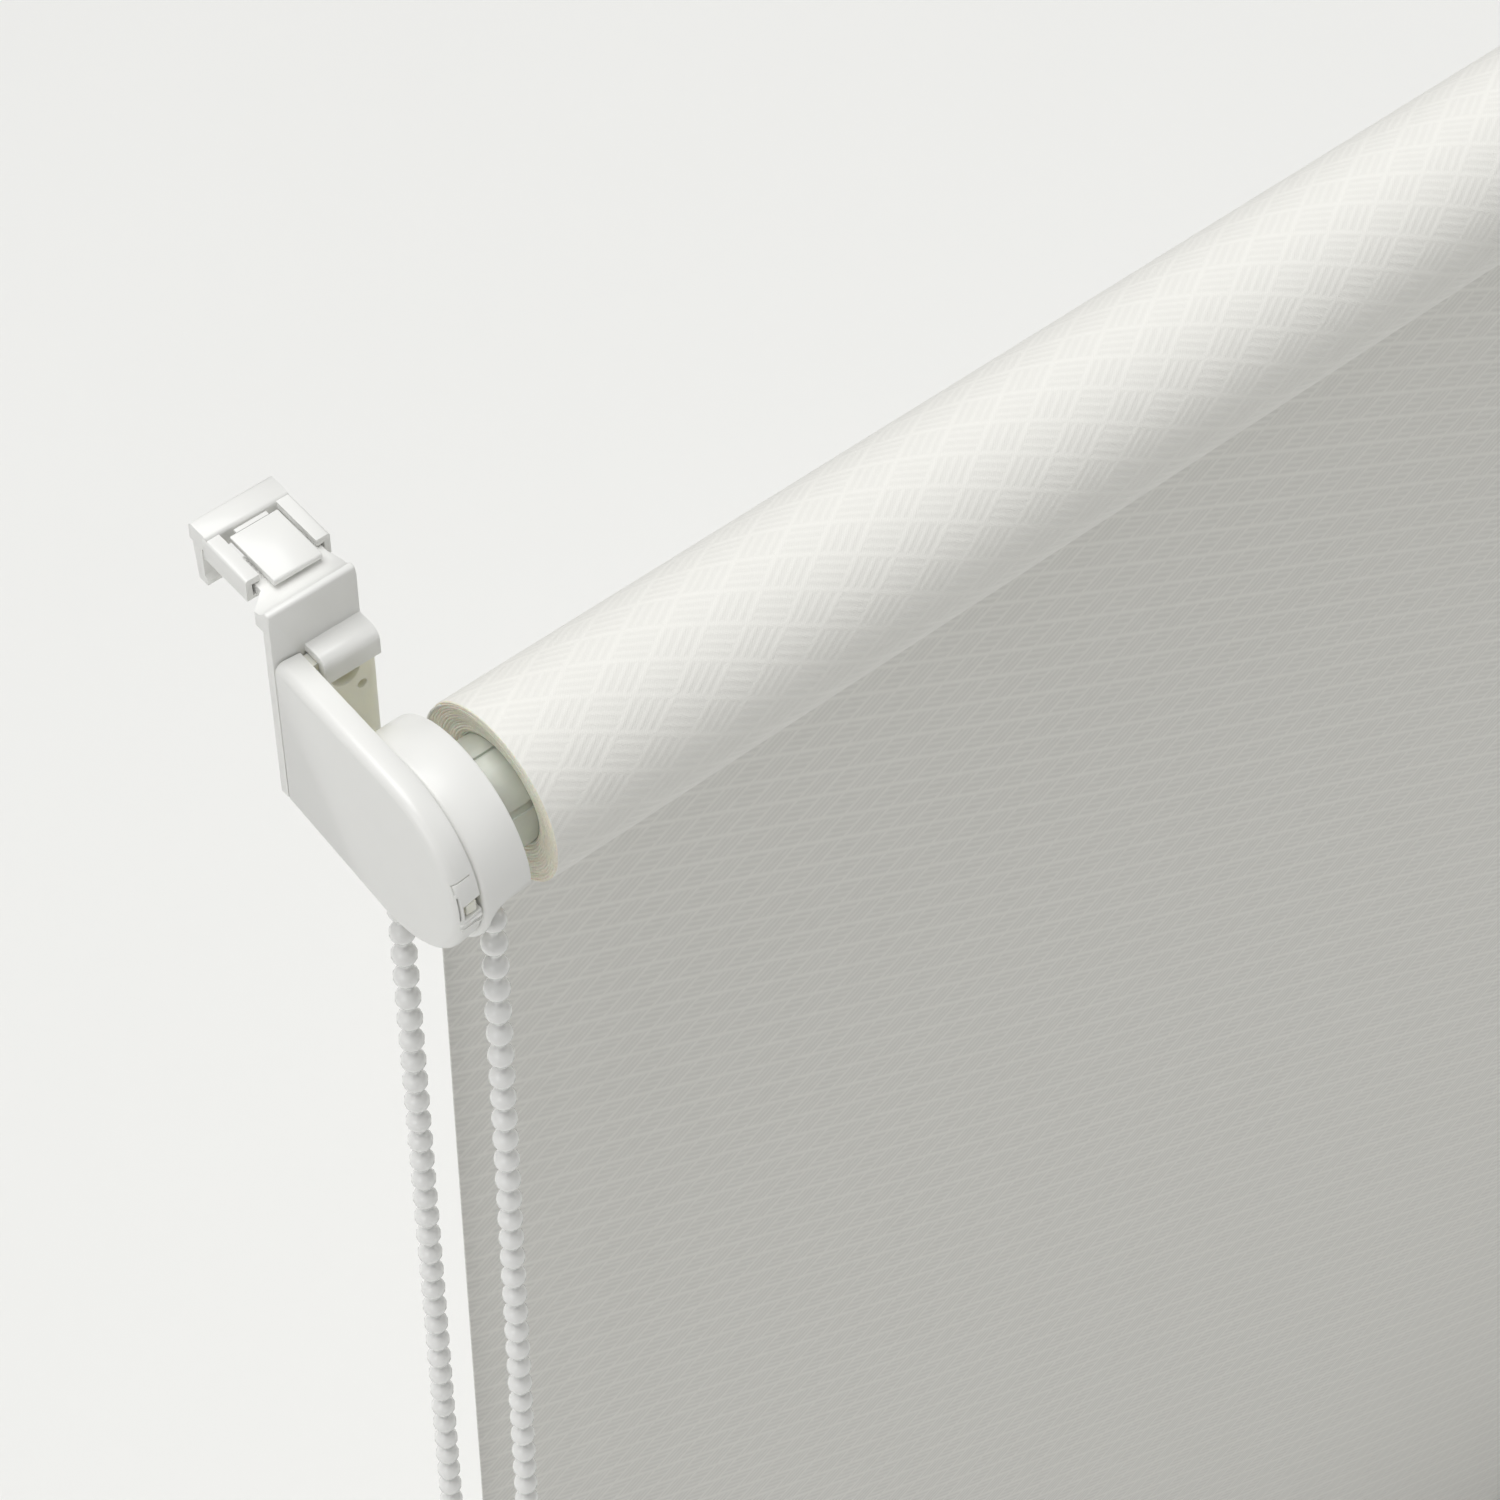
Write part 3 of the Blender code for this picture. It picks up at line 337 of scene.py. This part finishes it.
def jacquard(name, base, block, rise, relief, ground):
    """Woven jacquard polyester: matt off-white yarn. Slanting cells, drawn with raised borders, hold four
    grooves each, and the grooves run along one side of the cell and along the other in the next. The
    ground between the raised cords is darker by the given share, over a fine plain weave."""
    material, tree, shader = new_material(
        name, Roughness=0.85, IOR=1.5, Sheen_Weight=0.2, Sheen_Roughness=0.4
    )
    if not tree:
        return material
    shader.inputs["Specular IOR Level"].default_value = 0.3
    place = add(tree, "ShaderNodeTexCoord").outputs["UV"]
    # Turned by 45 degrees after its two scales, so that one step is one side of a cell
    step = (1 / (block * math.sqrt(2)), 1 / (rise * math.sqrt(2)), 1)
    to_cells = {"Vector": place, "Rotation": (0, 0, -math.pi / 4), "Scale": step}
    turned = add(tree, "ShaderNodeMapping", to_cells).outputs["Vector"]
    split = add(tree, "ShaderNodeSeparateXYZ", {"Vector": turned}).outputs
    parity = add(tree, "ShaderNodeTexChecker", {"Vector": turned, "Scale": 1.0}).outputs["Fac"]
    across = add(tree, "ShaderNodeMix", {"Factor": parity})
    tree.links.new(split["X"], across.inputs["A"])
    tree.links.new(split["Y"], across.inputs["B"])
    grooves = 4
    angle = {0: across.outputs["Result"], 1: 2 * math.pi * grooves}
    turn = add(tree, "ShaderNodeMath", angle, operation="MULTIPLY")
    wave = add(tree, "ShaderNodeMath", {0: turn.outputs[0]}, operation="COSINE").outputs[0]
    ridge = spread(tree, wave, 0, 0.7, -0.5, 0.9)
    for axis in "XY":
        near = add(tree, "ShaderNodeMath", {0: split[axis], 1: 0.5}, operation="PINGPONG").outputs[0]
        border = spread(tree, near, 1, 0, 0.03, 0.12)
        ridge = add(tree, "ShaderNodeMath", {0: ridge, 1: border}, operation="MAXIMUM").outputs[0]
    # Such cloth typically has its yarns 0.25 mm apart. They are drawn 0.5 mm apart so that they show
    spacing = 0.5 * MM
    to_yarns = {"Vector": place, "Scale": (2 * math.pi / spacing,) * 3}
    yarn = add(tree, "ShaderNodeMapping", to_yarns).outputs["Vector"]
    threads = add(tree, "ShaderNodeSeparateXYZ", {"Vector": yarn})
    warp = add(tree, "ShaderNodeMath", {0: threads.outputs["X"]}, operation="SINE").outputs[0]
    weft = add(tree, "ShaderNodeMath", {0: threads.outputs["Y"]}, operation="SINE").outputs[0]
    weave = add(tree, "ShaderNodeMath", {0: warp, 1: weft}, operation="MULTIPLY").outputs[0]
    uneven = spread(tree, grain(tree, place, 0.8 * MM), 0, 1)
    tone = add(tree, "ShaderNodeMath", {0: ridge, 1: 0.8}, operation="MULTIPLY").outputs[0]
    tone = add(tree, "ShaderNodeMath", {0: uneven, 1: 0.2, 2: tone}, operation="MULTIPLY_ADD").outputs[0]
    tree.links.new(tint(tree, tone, shaded(base, ground), base), shader.inputs["Base Color"])
    fine = add(tree, "ShaderNodeBump", {"Height": weave, "Strength": 0.35, "Distance": 0.03 * MM})
    raised = {"Height": ridge, "Strength": 1.0, "Distance": relief, "Normal": fine.outputs["Normal"]}
    tree.links.new(add(tree, "ShaderNodeBump", raised).outputs["Normal"], shader.inputs["Normal"])
    return material


def cut_edges(name, base):
    """Cut edges of wound cloth: dense warm-white yarn ends, matt, with the odd loose fibre."""
    material, tree, shader = new_material(name, Roughness=0.95, Sheen_Weight=0.3, Subsurface_Weight=0.4)
    if not tree:
        return material
    shader.inputs["Subsurface Scale"].default_value = 2 * MM
    place = add(tree, "ShaderNodeTexCoord").outputs["Object"]
    fibre = grain(tree, place, 0.25 * MM, 4)
    tone = tint(tree, spread(tree, fibre, 0, 1), shaded(base, 0.86), base)
    tree.links.new(tone, shader.inputs["Base Color"])
    bump = add(tree, "ShaderNodeBump", {"Height": fibre, "Strength": 0.6, "Distance": 0.08 * MM})
    tree.links.new(bump.outputs["Normal"], shader.inputs["Normal"])
    return material


def extruded_aluminium(name, base):
    """Mill-finish extruded aluminium: dull grey metal, with die lines drawn along its length."""
    material, tree, shader = new_material(name, Metallic=0.4)
    if not tree:
        return material
    place = add(tree, "ShaderNodeTexCoord").outputs["Object"]
    drawn = add(tree, "ShaderNodeMapping", {"Vector": place, "Scale": (0.01, 1, 1)}).outputs["Vector"]
    lines = grain(tree, drawn, 0.2 * MM, 3)
    cloud = spread(tree, grain(tree, place, 3 * MM), 0, 1)
    tree.links.new(tint(tree, cloud, base, shaded(base, 0.88)), shader.inputs["Base Color"])
    tree.links.new(spread(tree, lines, 0.36, 0.52), shader.inputs["Roughness"])
    bump = add(tree, "ShaderNodeBump", {"Height": lines, "Strength": 0.35, "Distance": 0.02 * MM})
    tree.links.new(bump.outputs["Normal"], shader.inputs["Normal"])
    return material


def drawn_steel(name):
    """Drawn spring steel: bright grey wire with fine draw marks."""
    material, tree, shader = new_material(name, Metallic=1.0)
    if not tree:
        return material
    place = add(tree, "ShaderNodeTexCoord").outputs["Object"]
    marks = grain(tree, place, 0.15 * MM, 3)
    base = linear("a6a8aa")
    tree.links.new(tint(tree, marks, base, shaded(base, 0.8)), shader.inputs["Base Color"])
    tree.links.new(spread(tree, marks, 0.25, 0.4), shader.inputs["Roughness"])
    return material


def baked_enamel(name, base):
    """Powder-coated enamel on the bar: an even white film with faint orange peel 1.5 mm across."""
    material, tree, shader = new_material(name, IOR=1.5, Coat_Weight=0.15)
    if not tree:
        return material
    shader.inputs["Coat Roughness"].default_value = 0.2
    place = add(tree, "ShaderNodeTexCoord").outputs["Object"]
    peel = grain(tree, place, 1.5 * MM, 2)
    tone = tint(tree, spread(tree, peel, 0, 1), base, shaded(base, 0.975))
    tree.links.new(tone, shader.inputs["Base Color"])
    tree.links.new(spread(tree, peel, 0.33, 0.42), shader.inputs["Roughness"])
    bump = add(tree, "ShaderNodeBump", {"Height": peel, "Strength": 0.3, "Distance": 0.03 * MM})
    tree.links.new(bump.outputs["Normal"], shader.inputs["Normal"])
    return material


def sizes():
    return bpy.context.scene.blind_sizes


def colours():
    return bpy.context.scene.blind_colours


def white_plastic():
    return moulded_plastic("Moulded acetal, white", tuple(colours().white), 0.3, coat=0.1, sink=0.01 * MM)


def natural_plastic():
    return moulded_plastic("Moulded nylon, natural", tuple(colours().ivory), 0.4, subsurface=0.6)


def grey_plastic():
    return moulded_plastic("Moulded nylon, grey", tuple(colours().clutch), 0.45)


def chain_plastic():
    return moulded_plastic("Moulded polyester beads, white", tuple(colours().chain), 0.16, coat=0.35)


# The hanging copy's ground is darker than the wound copy's. The pattern is the cloth's own, and this
# difference between the two copies is painted light and shade
def fabric_material(cloth="Jacquard polyester, hanging", ground=0.87):
    base, block, rise = tuple(colours().fabric), sizes().block, sizes().rise
    return jacquard(cloth, base, block, rise, relief=0.045 * MM, ground=ground)


# ---- Pieces


class BLIND_OT_camera(bpy.types.Operator):
    """Adds the camera, above and in front of the chain end of the blind"""

    bl_idname = "blind.camera"
    bl_label = "Camera"

    def execute(self, context):
        azimuth, elevation, roll = (math.radians(a) for a in (-40.88, 51.63, 1.20))
        level_share = math.cos(elevation)
        ahead = Vector(
            (-math.sin(azimuth) * level_share, math.cos(azimuth) * level_share, -math.sin(elevation))
        )
        level = Vector((math.cos(azimuth), math.sin(azimuth), 0))
        upright = level.cross(ahead)
        right = math.cos(roll) * level + math.sin(roll) * upright
        up = math.cos(roll) * upright - math.sin(roll) * level
        data = bpy.data.cameras.new("camera")
        data.sensor_width = 36
        data.lens = 102.4
        data.clip_start = 0.01
        camera = bpy.data.objects.new("camera", data)
        place = Matrix.Translation((-0.21666, -0.35873, 0.48213))
        camera.matrix_world = place @ Matrix((right, up, -ahead)).transposed().to_4x4()
        context.scene.collection.objects.link(camera)
        context.scene.camera = camera
        return {"FINISHED"}


def chain_line(s):
    """The chain's centre line at distances s from its start on top of the wheel: over the wheel to the front,
    straight down, round a half circle of the wheel's radius, straight up and over the wheel from the rear."""
    half = math.pi / POCKETS
    quarter = WHEEL_RADIUS * (math.pi / 2 - half)
    ends = np.cumsum([quarter, STRAND, math.pi * WHEEL_RADIUS, STRAND, quarter])
    low = ROLL_Z - STRAND
    over = math.pi / 2 + half + s / WHEEL_RADIUS
    under = math.pi + (s - ends[1]) / WHEEL_RADIUS
    back = (s - ends[3]) / WHEEL_RADIUS
    stretches = [s < ends[0], s < ends[1], s < ends[2], s < ends[3]]
    y = np.select(
        stretches,
        [
            WHEEL_RADIUS * np.cos(over),
            -WHEEL_RADIUS + 0 * s,
            WHEEL_RADIUS * np.cos(under),
            WHEEL_RADIUS + 0 * s,
        ],
        WHEEL_RADIUS * np.cos(back),
    )
    z = np.select(
        stretches,
        [
            ROLL_Z + WHEEL_RADIUS * np.sin(over),
            ROLL_Z - (s - ends[0]),
            low + WHEEL_RADIUS * np.sin(under),
            low + s - ends[2],
        ],
        ROLL_Z + WHEEL_RADIUS * np.sin(back),
    )
    return np.stack([np.full_like(y, CHAIN_X), ROLL_Y + y, z], axis=-1), ends[-1]


class BLIND_OT_chain(bpy.types.Operator):
    """Builds the bead chain and its connector"""

    bl_idname = "blind.chain"
    bl_label = "Bead Chain"

    def execute(self, context):
        bead, string = sizes().bead / 2, sizes().string / 2
        total = chain_line(np.zeros(1))[1]
        # Along one pitch: rings on the bead, evenly in angle, and one halfway along the string
        turn = np.radians([17, 34, 54, 76, 104, 126, 146, 163])
        step = np.append(-np.cos(turn) * bead, PITCH / 2)
        reach = np.append(np.maximum(np.sin(turn) * bead, string), string)
        count = int(round(total / PITCH))
        starts = sizes().bead_offset + np.arange(count) * PITCH
        s = (starts[:, None] + step).ravel()
        radius = np.tile(reach, count)
        kept = (s > 0) & (s < total)
        s = np.concatenate([[0], s[kept], [total]])
        radius = np.concatenate([[string], radius[kept], [string]])
        line, _ = chain_line(s)
        tangent = np.gradient(line, axis=0)
        tangent /= np.linalg.norm(tangent, axis=1, keepdims=True)
        across = np.array([1.0, 0, 0])
        other = np.cross(tangent, across)
        angle = np.linspace(0, 2 * math.pi, 14, endpoint=False)
        ring = np.cos(angle)[:, None] * across + np.sin(angle)[:, None] * other[:, None, :]
        points = line[:, None, :] + radius[:, None, None] * ring
        chain = grid_piece("beads_on_string", points, chain_plastic(), wrap=(False, True), caps=True)
        settle(chain, "root", "chain_plastic", "bead_chain")
        connector = rounded_copy("chain_connector", chain_plastic(), 0.25 * MM, "chain_plastic")
        path, _ = chain_line(np.linspace(0, total, 260))
        return {"FINISHED"}


class BLIND_OT_fittings(bpy.types.Operator):
    """Builds the clips, brackets, covers and the chain housing"""

    bl_idname = "blind.fittings"
    bl_label = "Clips, Brackets and Housing"

    def execute(self, context):
        edge = sizes().edge
        # The cover and the housing meet closely, and their outer edges are rounded already
        crisp = edge * 0.3
        for side in SIDES:
            for part in ("clip_plate", "clip_hook", "release_tongue"):
                rounded_copy(f"{side}_{part}", white_plastic(), edge, "white_plastic")
            rounded_copy(f"{side}_arm_cover", white_plastic(), crisp, "white_plastic")
            rounded_copy(f"{side}_bracket", natural_plastic(), edge, "ivory_plastic")
        rounded_copy("chain_housing", white_plastic(), crisp, "white_plastic")
        return {"FINISHED"}


class BLIND_OT_drive(bpy.types.Operator):
    """Gives the chain wheel, clutch and idle pin their finishes"""

    bl_idname = "blind.drive"
    bl_label = "Drive and Idle Pin"

    def execute(self, context):
        finishes = {
            grey_plastic(): ("chain_wheel", "drive_plug", "clutch_post", "idle_plug", "hem_rod"),
            drawn_steel("Drawn steel wire"): ("clutch_spring_left", "clutch_spring_right", "idle_pin"),
        }
        for material, nodes in finishes.items():
            for node in nodes:
                NODES[node].material_slots[0].material = material
        # The pin's spring, copied from the frame and put on the roller with a mesh of its own
        mesh = NODES["pin_spring"].data.copy()
        mesh.materials.clear()
        mesh.materials.append(drawn_steel("Drawn steel wire"))
        spring = settle(linked("coiled_spring", mesh), "roller", "spring_steel", "pin_spring")
        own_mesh(spring)
        return {"FINISHED"}


class BLIND_OT_tube(bpy.types.Operator):
    """Builds the grooved aluminium tube"""

    bl_idname = "blind.tube"
    bl_label = "Roller Tube"

    def execute(self, context):
        # Degrees round the axis and width of each key groove
        grooves = {87: 0.7 * MM, 151.5: 1.4 * MM, 267: 0.7 * MM, 331.5: 1.4 * MM}
        depth, chamfer = 0.5 * MM, 0.15 * MM
        stations = [np.linspace(0, 360, 96, endpoint=False)]
        for centre, width in grooves.items():
            half = math.degrees(width / 2 / TUBE_RADIUS)
            walls = [-half - 0.6, -half - 0.1, -half + 0.1, half - 0.1, half + 0.1, half + 0.6]
            stations.append(centre + np.array(walls))
        degrees = np.unique(np.concatenate(stations))
        outer = np.full_like(degrees, TUBE_RADIUS)
        for centre, width in grooves.items():
            half = math.degrees(width / 2 / TUBE_RADIUS)
            outer -= depth * (np.abs(degrees - centre) < half)
        # The profile goes along the outside, round the end and back through the bore
        left, right = TUBE_LOW.x, TUBE_HIGH.x
        x = np.array([left, left + chamfer, right - chamfer, right, right, left])
        inset = np.array([chamfer, 0, 0, chamfer, 0, 0])
        radius = np.where(np.arange(6)[:, None] < 4, outer - inset[:, None], TUBE_BORE)
        angle = np.radians(degrees)
        points = np.stack(
            [
                np.broadcast_to(x[:, None], radius.shape),
                ROLL_Y + radius * np.cos(angle),
                ROLL_Z + radius * np.sin(angle),
            ],
            axis=-1,
        )
        material = extruded_aluminium("Extruded aluminium, mill finish", tuple(colours().aluminium))
        tube = grid_piece("grooved_tube", points[:, ::-1], material, wrap=(True, True))
        tube.data.set_sharp_from_angle(angle=math.radians(30))
        settle(tube, "roller", "tube_aluminium", "roller_tube")
        return {"FINISHED"}


class BLIND_OT_roll(bpy.types.Operator):
    """Builds the wound fabric"""

    bl_idname = "blind.roll"
    bl_label = "Fabric Roll"

    def execute(self, context):
        inner, setback, turn = TUBE_RADIUS + 0.1 * MM, 1.4 * MM, sizes().turn
        left, right = ROLL_LOW.x, ROLL_HIGH.x
        count, face_rows, body_rows = 160, 100, 48
        angle = np.linspace(0, 2 * math.pi, count, endpoint=False)
        # End faces: each turn's edge stands proud of the seam beside it, which winds inwards as a spiral
        face = np.linspace(0, 1, face_rows)
        reach = inner + (ROLL_RADIUS - 0.05 * MM - inner) * face
        phase = (reach[:, None] - ROLL_RADIUS) / turn - angle / (2 * math.pi)
        seam = np.abs(np.sin(math.pi * phase)) ** 0.5
        wound = np.floor(phase)
        wobble = 0.08 * MM * np.sin(2.0 * angle + 1.3 * wound) + 0.07 * MM * np.sin(5.3 * wound)
        corner = 0.5 * MM
        near = np.clip(1 - (ROLL_RADIUS - reach) / corner, 0, 1)[:, None]
        depth = setback * (1 - face[:, None]) ** 1.3 + 0.25 * MM * (1 - seam) + wobble * (near == 0)
        depth = depth + corner * (1 - np.sqrt(1 - near**2))
        depth = np.maximum(depth, 0)
        reach = np.broadcast_to(reach[:, None], depth.shape)
        body_x = np.linspace(left + corner, right - corner, body_rows)
        body = np.full((body_rows, count), ROLL_RADIUS)
        body -= 0.02 * MM * (1 + np.sin(3 * angle + 9 * body_x[:, None] / 0.57))
        body_places = np.broadcast_to(body_x[:, None], body.shape)
        x = np.concatenate([left + depth, body_places, (right - depth)[::-1]])
        radius = np.concatenate([reach, body, reach[::-1]])
        points = np.stack([x, ROLL_Y + radius * np.cos(angle), ROLL_Z + radius * np.sin(angle)], axis=-1)
        u = np.concatenate([left + 0 * face, body_x, right + 0 * face])
        v = np.append(angle, 2 * math.pi) * ROLL_RADIUS
        u = np.append(u, u[0])
        # The same cloth as the sheet, with its pattern drawn fainter. The pattern is the cloth's own; the
        # sheet's darker ground, beyond this one's, is painted light and shade
        cloth = fabric_material("Jacquard polyester, wound", ground=0.94)
        roll = grid_piece("wound_fabric", points[:, ::-1], cloth, wrap=(True, True), uv=(u, v[::-1].copy()))
        roll.data.materials.append(cut_edges("Cut fabric edges", tuple(colours().raw_edge)))
        row = np.repeat(np.arange(len(x)), count)
        ends = (row < face_rows - 1) | (row >= face_rows + body_rows)
        roll.data.polygons.foreach_set("material_index", ends.astype(np.int32))
        settle(roll, "roller", "fabric", "fabric_roll")
        return {"FINISHED"}


class BLIND_OT_sheet(bpy.types.Operator):
    """Builds the hanging fabric and its hem"""

    bl_idname = "blind.sheet"
    bl_label = "Hanging Fabric"

    def execute(self, context):
        thick = sizes().fabric
        left, right = SHEET_LOW.x, SHEET_HIGH.x
        bottom, top = SHEET_LOW.z, SHEET_HIGH.z
        # Off the roll: round it from under its outer turn, then straight down
        leave = math.radians(38)
        hug = np.linspace(leave, 0, 14)
        tuck = 0.5 * MM
        reach = ROLL_RADIUS - tuck + (SHEET_Y - ROLL_Y - ROLL_RADIUS + tuck) * smooth(1 - hug / leave)
        fall = np.linspace(ROLL_Z, bottom, 120)[1:]
        y = np.concatenate([ROLL_Y + reach * np.cos(hug), SHEET_Y + 0 * fall])
        z = np.concatenate([ROLL_Z + reach * np.sin(hug), fall])
        run = np.concatenate([[0], np.cumsum(np.hypot(np.diff(y), np.diff(z)))])
        x = np.linspace(left, right, 72)
        drop = (ROLL_Z - z) / (ROLL_Z - bottom)
        ease = smooth(drop * 6) * smooth((1 - drop) * 6)
        ripple = np.sin(2 * math.pi * (x[:, None] - left) / 0.21 + 2 * drop)
        wave = 0.35 * MM * ease * (ripple + 0.4 * np.sin(23 * x[:, None] + 5 * drop))
        points = np.stack(
            [np.broadcast_to(x[:, None], wave.shape), y + wave, np.broadcast_to(z, wave.shape)], axis=-1
        )
        v = -run + ROLL_RADIUS * leave
        sheet = grid_piece("hanging_fabric", points, fabric_material(), uv=(x, v))
        solid = sheet.modifiers.new("Cloth", "SOLIDIFY")
        solid.thickness = thick
        solid.offset = 0
        # Hem: from the bar's slot round the rod and back, closing on the sheet
        rod_y, rod_z = (ROD_LOW.y + ROD_HIGH.y) / 2, (ROD_LOW.z + ROD_HIGH.z) / 2
        grip, neck, thin = 2.25 * MM, 0.38 * MM, 0.25 * MM
        open_angle = math.asin(neck / grip)
        wrap = np.linspace(math.pi / 2 + open_angle, 2.5 * math.pi - open_angle, 28)
        rise = bottom + 1.5 * MM
        ys = np.concatenate([[rod_y - neck], rod_y + grip * np.cos(wrap), [rod_y + neck]])
        zs = np.concatenate([[rise], rod_z + grip * np.sin(wrap), [rise]])
        hem_x = np.linspace(left + 2.6 * MM, right - 2.6 * MM, 24)
        shape = (len(hem_x), len(ys))
        hem_points = np.stack(
            [
                np.broadcast_to(hem_x[:, None], shape),
                np.broadcast_to(ys, shape),
                np.broadcast_to(zs, shape),
            ],
            axis=-1,
        )
        hem_run = np.concatenate([[0], np.cumsum(np.hypot(np.diff(ys), np.diff(zs)))])
        hem = grid_piece("rod_hem", hem_points, fabric_material(), uv=(hem_x, v[-1] - hem_run))
        layer = hem.modifiers.new("Cloth", "SOLIDIFY")
        layer.thickness = thin
        layer.offset = 0
        settle(hem, "bottom_rail", "fabric")
        settle(sheet, "root", "fabric", "fabric_sheet")
        final = baked(sheet)
        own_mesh(final)
        return {"FINISHED"}


def baked(piece):
    """Applies a piece's modifiers to its mesh."""
    graph = bpy.context.evaluated_depsgraph_get()
    mesh = bpy.data.meshes.new_from_object(piece.evaluated_get(graph))
    piece.modifiers.clear()
    piece.data = mesh
    return piece


class BLIND_OT_bottom_rail(bpy.types.Operator):
    """Builds the bottom bar and its caps"""

    bl_idname = "blind.bottom_rail"
    bl_label = "Bottom Bar"

    def execute(self, context):
        enamel = baked_enamel("Powder-coated enamel, white", tuple(colours().enamel))
        rounded_copy("bottom_bar", enamel, 0.2 * MM, "bar_enamel")
        for cap in ("bar_cap_left", "bar_cap_right"):
            rounded_copy(cap, white_plastic(), 0.2 * MM, "white_plastic")
        return {"FINISHED"}


class BLIND_OT_stage(bpy.types.Operator):
    """Adds the floor and the studio lights"""

    bl_idname = "blind.stage"
    bl_label = "Studio"

    def execute(self, context):
        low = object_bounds()[0]
        side, lip = 6.0, 0.004
        corner = np.array([[-side, -side], [side, -side], [side, side], [-side, side]])
        mesh = bpy.data.meshes.new("floor")
        mesh.from_pydata(np.column_stack([corner, np.full(4, low.z - lip)]), [], [(0, 1, 2, 3)])
        floor = linked("floor", mesh)
        material, tree, shader = new_material("Studio floor", Roughness=0.7)
        if tree:
            place = add(tree, "ShaderNodeTexCoord").outputs["Object"]
            base = tuple(colours().floor)
            cloud = spread(tree, grain(tree, place, 0.2), 0, 1)
            tree.links.new(tint(tree, cloud, base, shaded(base, 0.985)), shader.inputs["Base Color"])
        mesh.materials.append(material)
        floor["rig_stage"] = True
        # Name, type, place, size (or a sun's angle), strength
        lights = (
            ("overhead_light", "SUN", (-0.2, 0.25, 1.5), math.radians(50), 2.0),
            ("left_light", "AREA", (-1.3, -0.45, 0.45), 0.8, 3.0),
            ("right_light", "AREA", (1.2, -0.5, 0.7), 0.8, 2.0),
        )
        target = Vector((0.05, -0.03, -0.04))
        for name, kind, place, size, strength in lights:
            data = bpy.data.lights.new(name, kind)
            data.energy = strength
            if kind == "SUN":
                data.angle = size
            else:
                data.size = size
            lamp = bpy.data.objects.new(name, data)
            aim = (target - Vector(place)).to_track_quat("-Z", "Y").to_matrix().to_4x4()
            lamp.matrix_world = Matrix.Translation(place) @ aim
            context.scene.collection.objects.link(lamp)
        # The room round the blind: brighter overhead than at the sides
        world = bpy.data.worlds.new("Studio")
        world.use_nodes = True
        room = world.node_tree
        ahead = add(room, "ShaderNodeTexCoord").outputs["Generated"]
        height = add(room, "ShaderNodeSeparateXYZ", {"Vector": ahead}).outputs["Z"]
        sky = room.nodes["Background"]
        sky.inputs["Color"].default_value = (1, 1, 0.985, 1)
        room.links.new(spread(room, height, 0.06, 0.46, 0.0, 1.0), sky.inputs["Strength"])
        context.scene.world = world
        context.scene.view_settings.view_transform = "Standard"
        return {"FINISHED"}


STEPS = (
    BLIND_OT_camera,
    BLIND_OT_chain,
    BLIND_OT_fittings,
    BLIND_OT_drive,
    BLIND_OT_tube,
    BLIND_OT_roll,
    BLIND_OT_sheet,
    BLIND_OT_bottom_rail,
    BLIND_OT_stage,
)


class BLIND_PT_panel(bpy.types.Panel):
    """Lists the blind's sizes, colours and pieces"""

    bl_idname = "BLIND_PT_panel"
    bl_label = "Roller Blind"
    bl_space_type = "VIEW_3D"
    bl_region_type = "UI"
    bl_category = "Roller Blind"

    def draw(self, context):
        for group in (context.scene.blind_sizes, context.scene.blind_colours):
            column = self.layout.column()
            for name in group.__annotations__:
                column.prop(group, name)
        for step in STEPS:
            self.layout.operator(step.bl_idname)


CLASSES = (BlindSizes, BlindColours, *STEPS, BLIND_PT_panel)


def register():
    for entry in CLASSES:
        bpy.utils.register_class(entry)
    bpy.types.Scene.blind_sizes = bpy.props.PointerProperty(type=BlindSizes)
    bpy.types.Scene.blind_colours = bpy.props.PointerProperty(type=BlindColours)


def unregister():
    del bpy.types.Scene.blind_colours
    del bpy.types.Scene.blind_sizes
    for entry in reversed(CLASSES):
        bpy.utils.unregister_class(entry)


def main():
    register()
    bpy.ops.blind.camera()
    bpy.ops.blind.chain()
    bpy.ops.blind.fittings()
    bpy.ops.blind.drive()
    bpy.ops.blind.tube()
    bpy.ops.blind.roll()
    bpy.ops.blind.sheet()
    bpy.ops.blind.bottom_rail()
    bpy.ops.blind.stage()


if __name__ == "__main__":
    main()
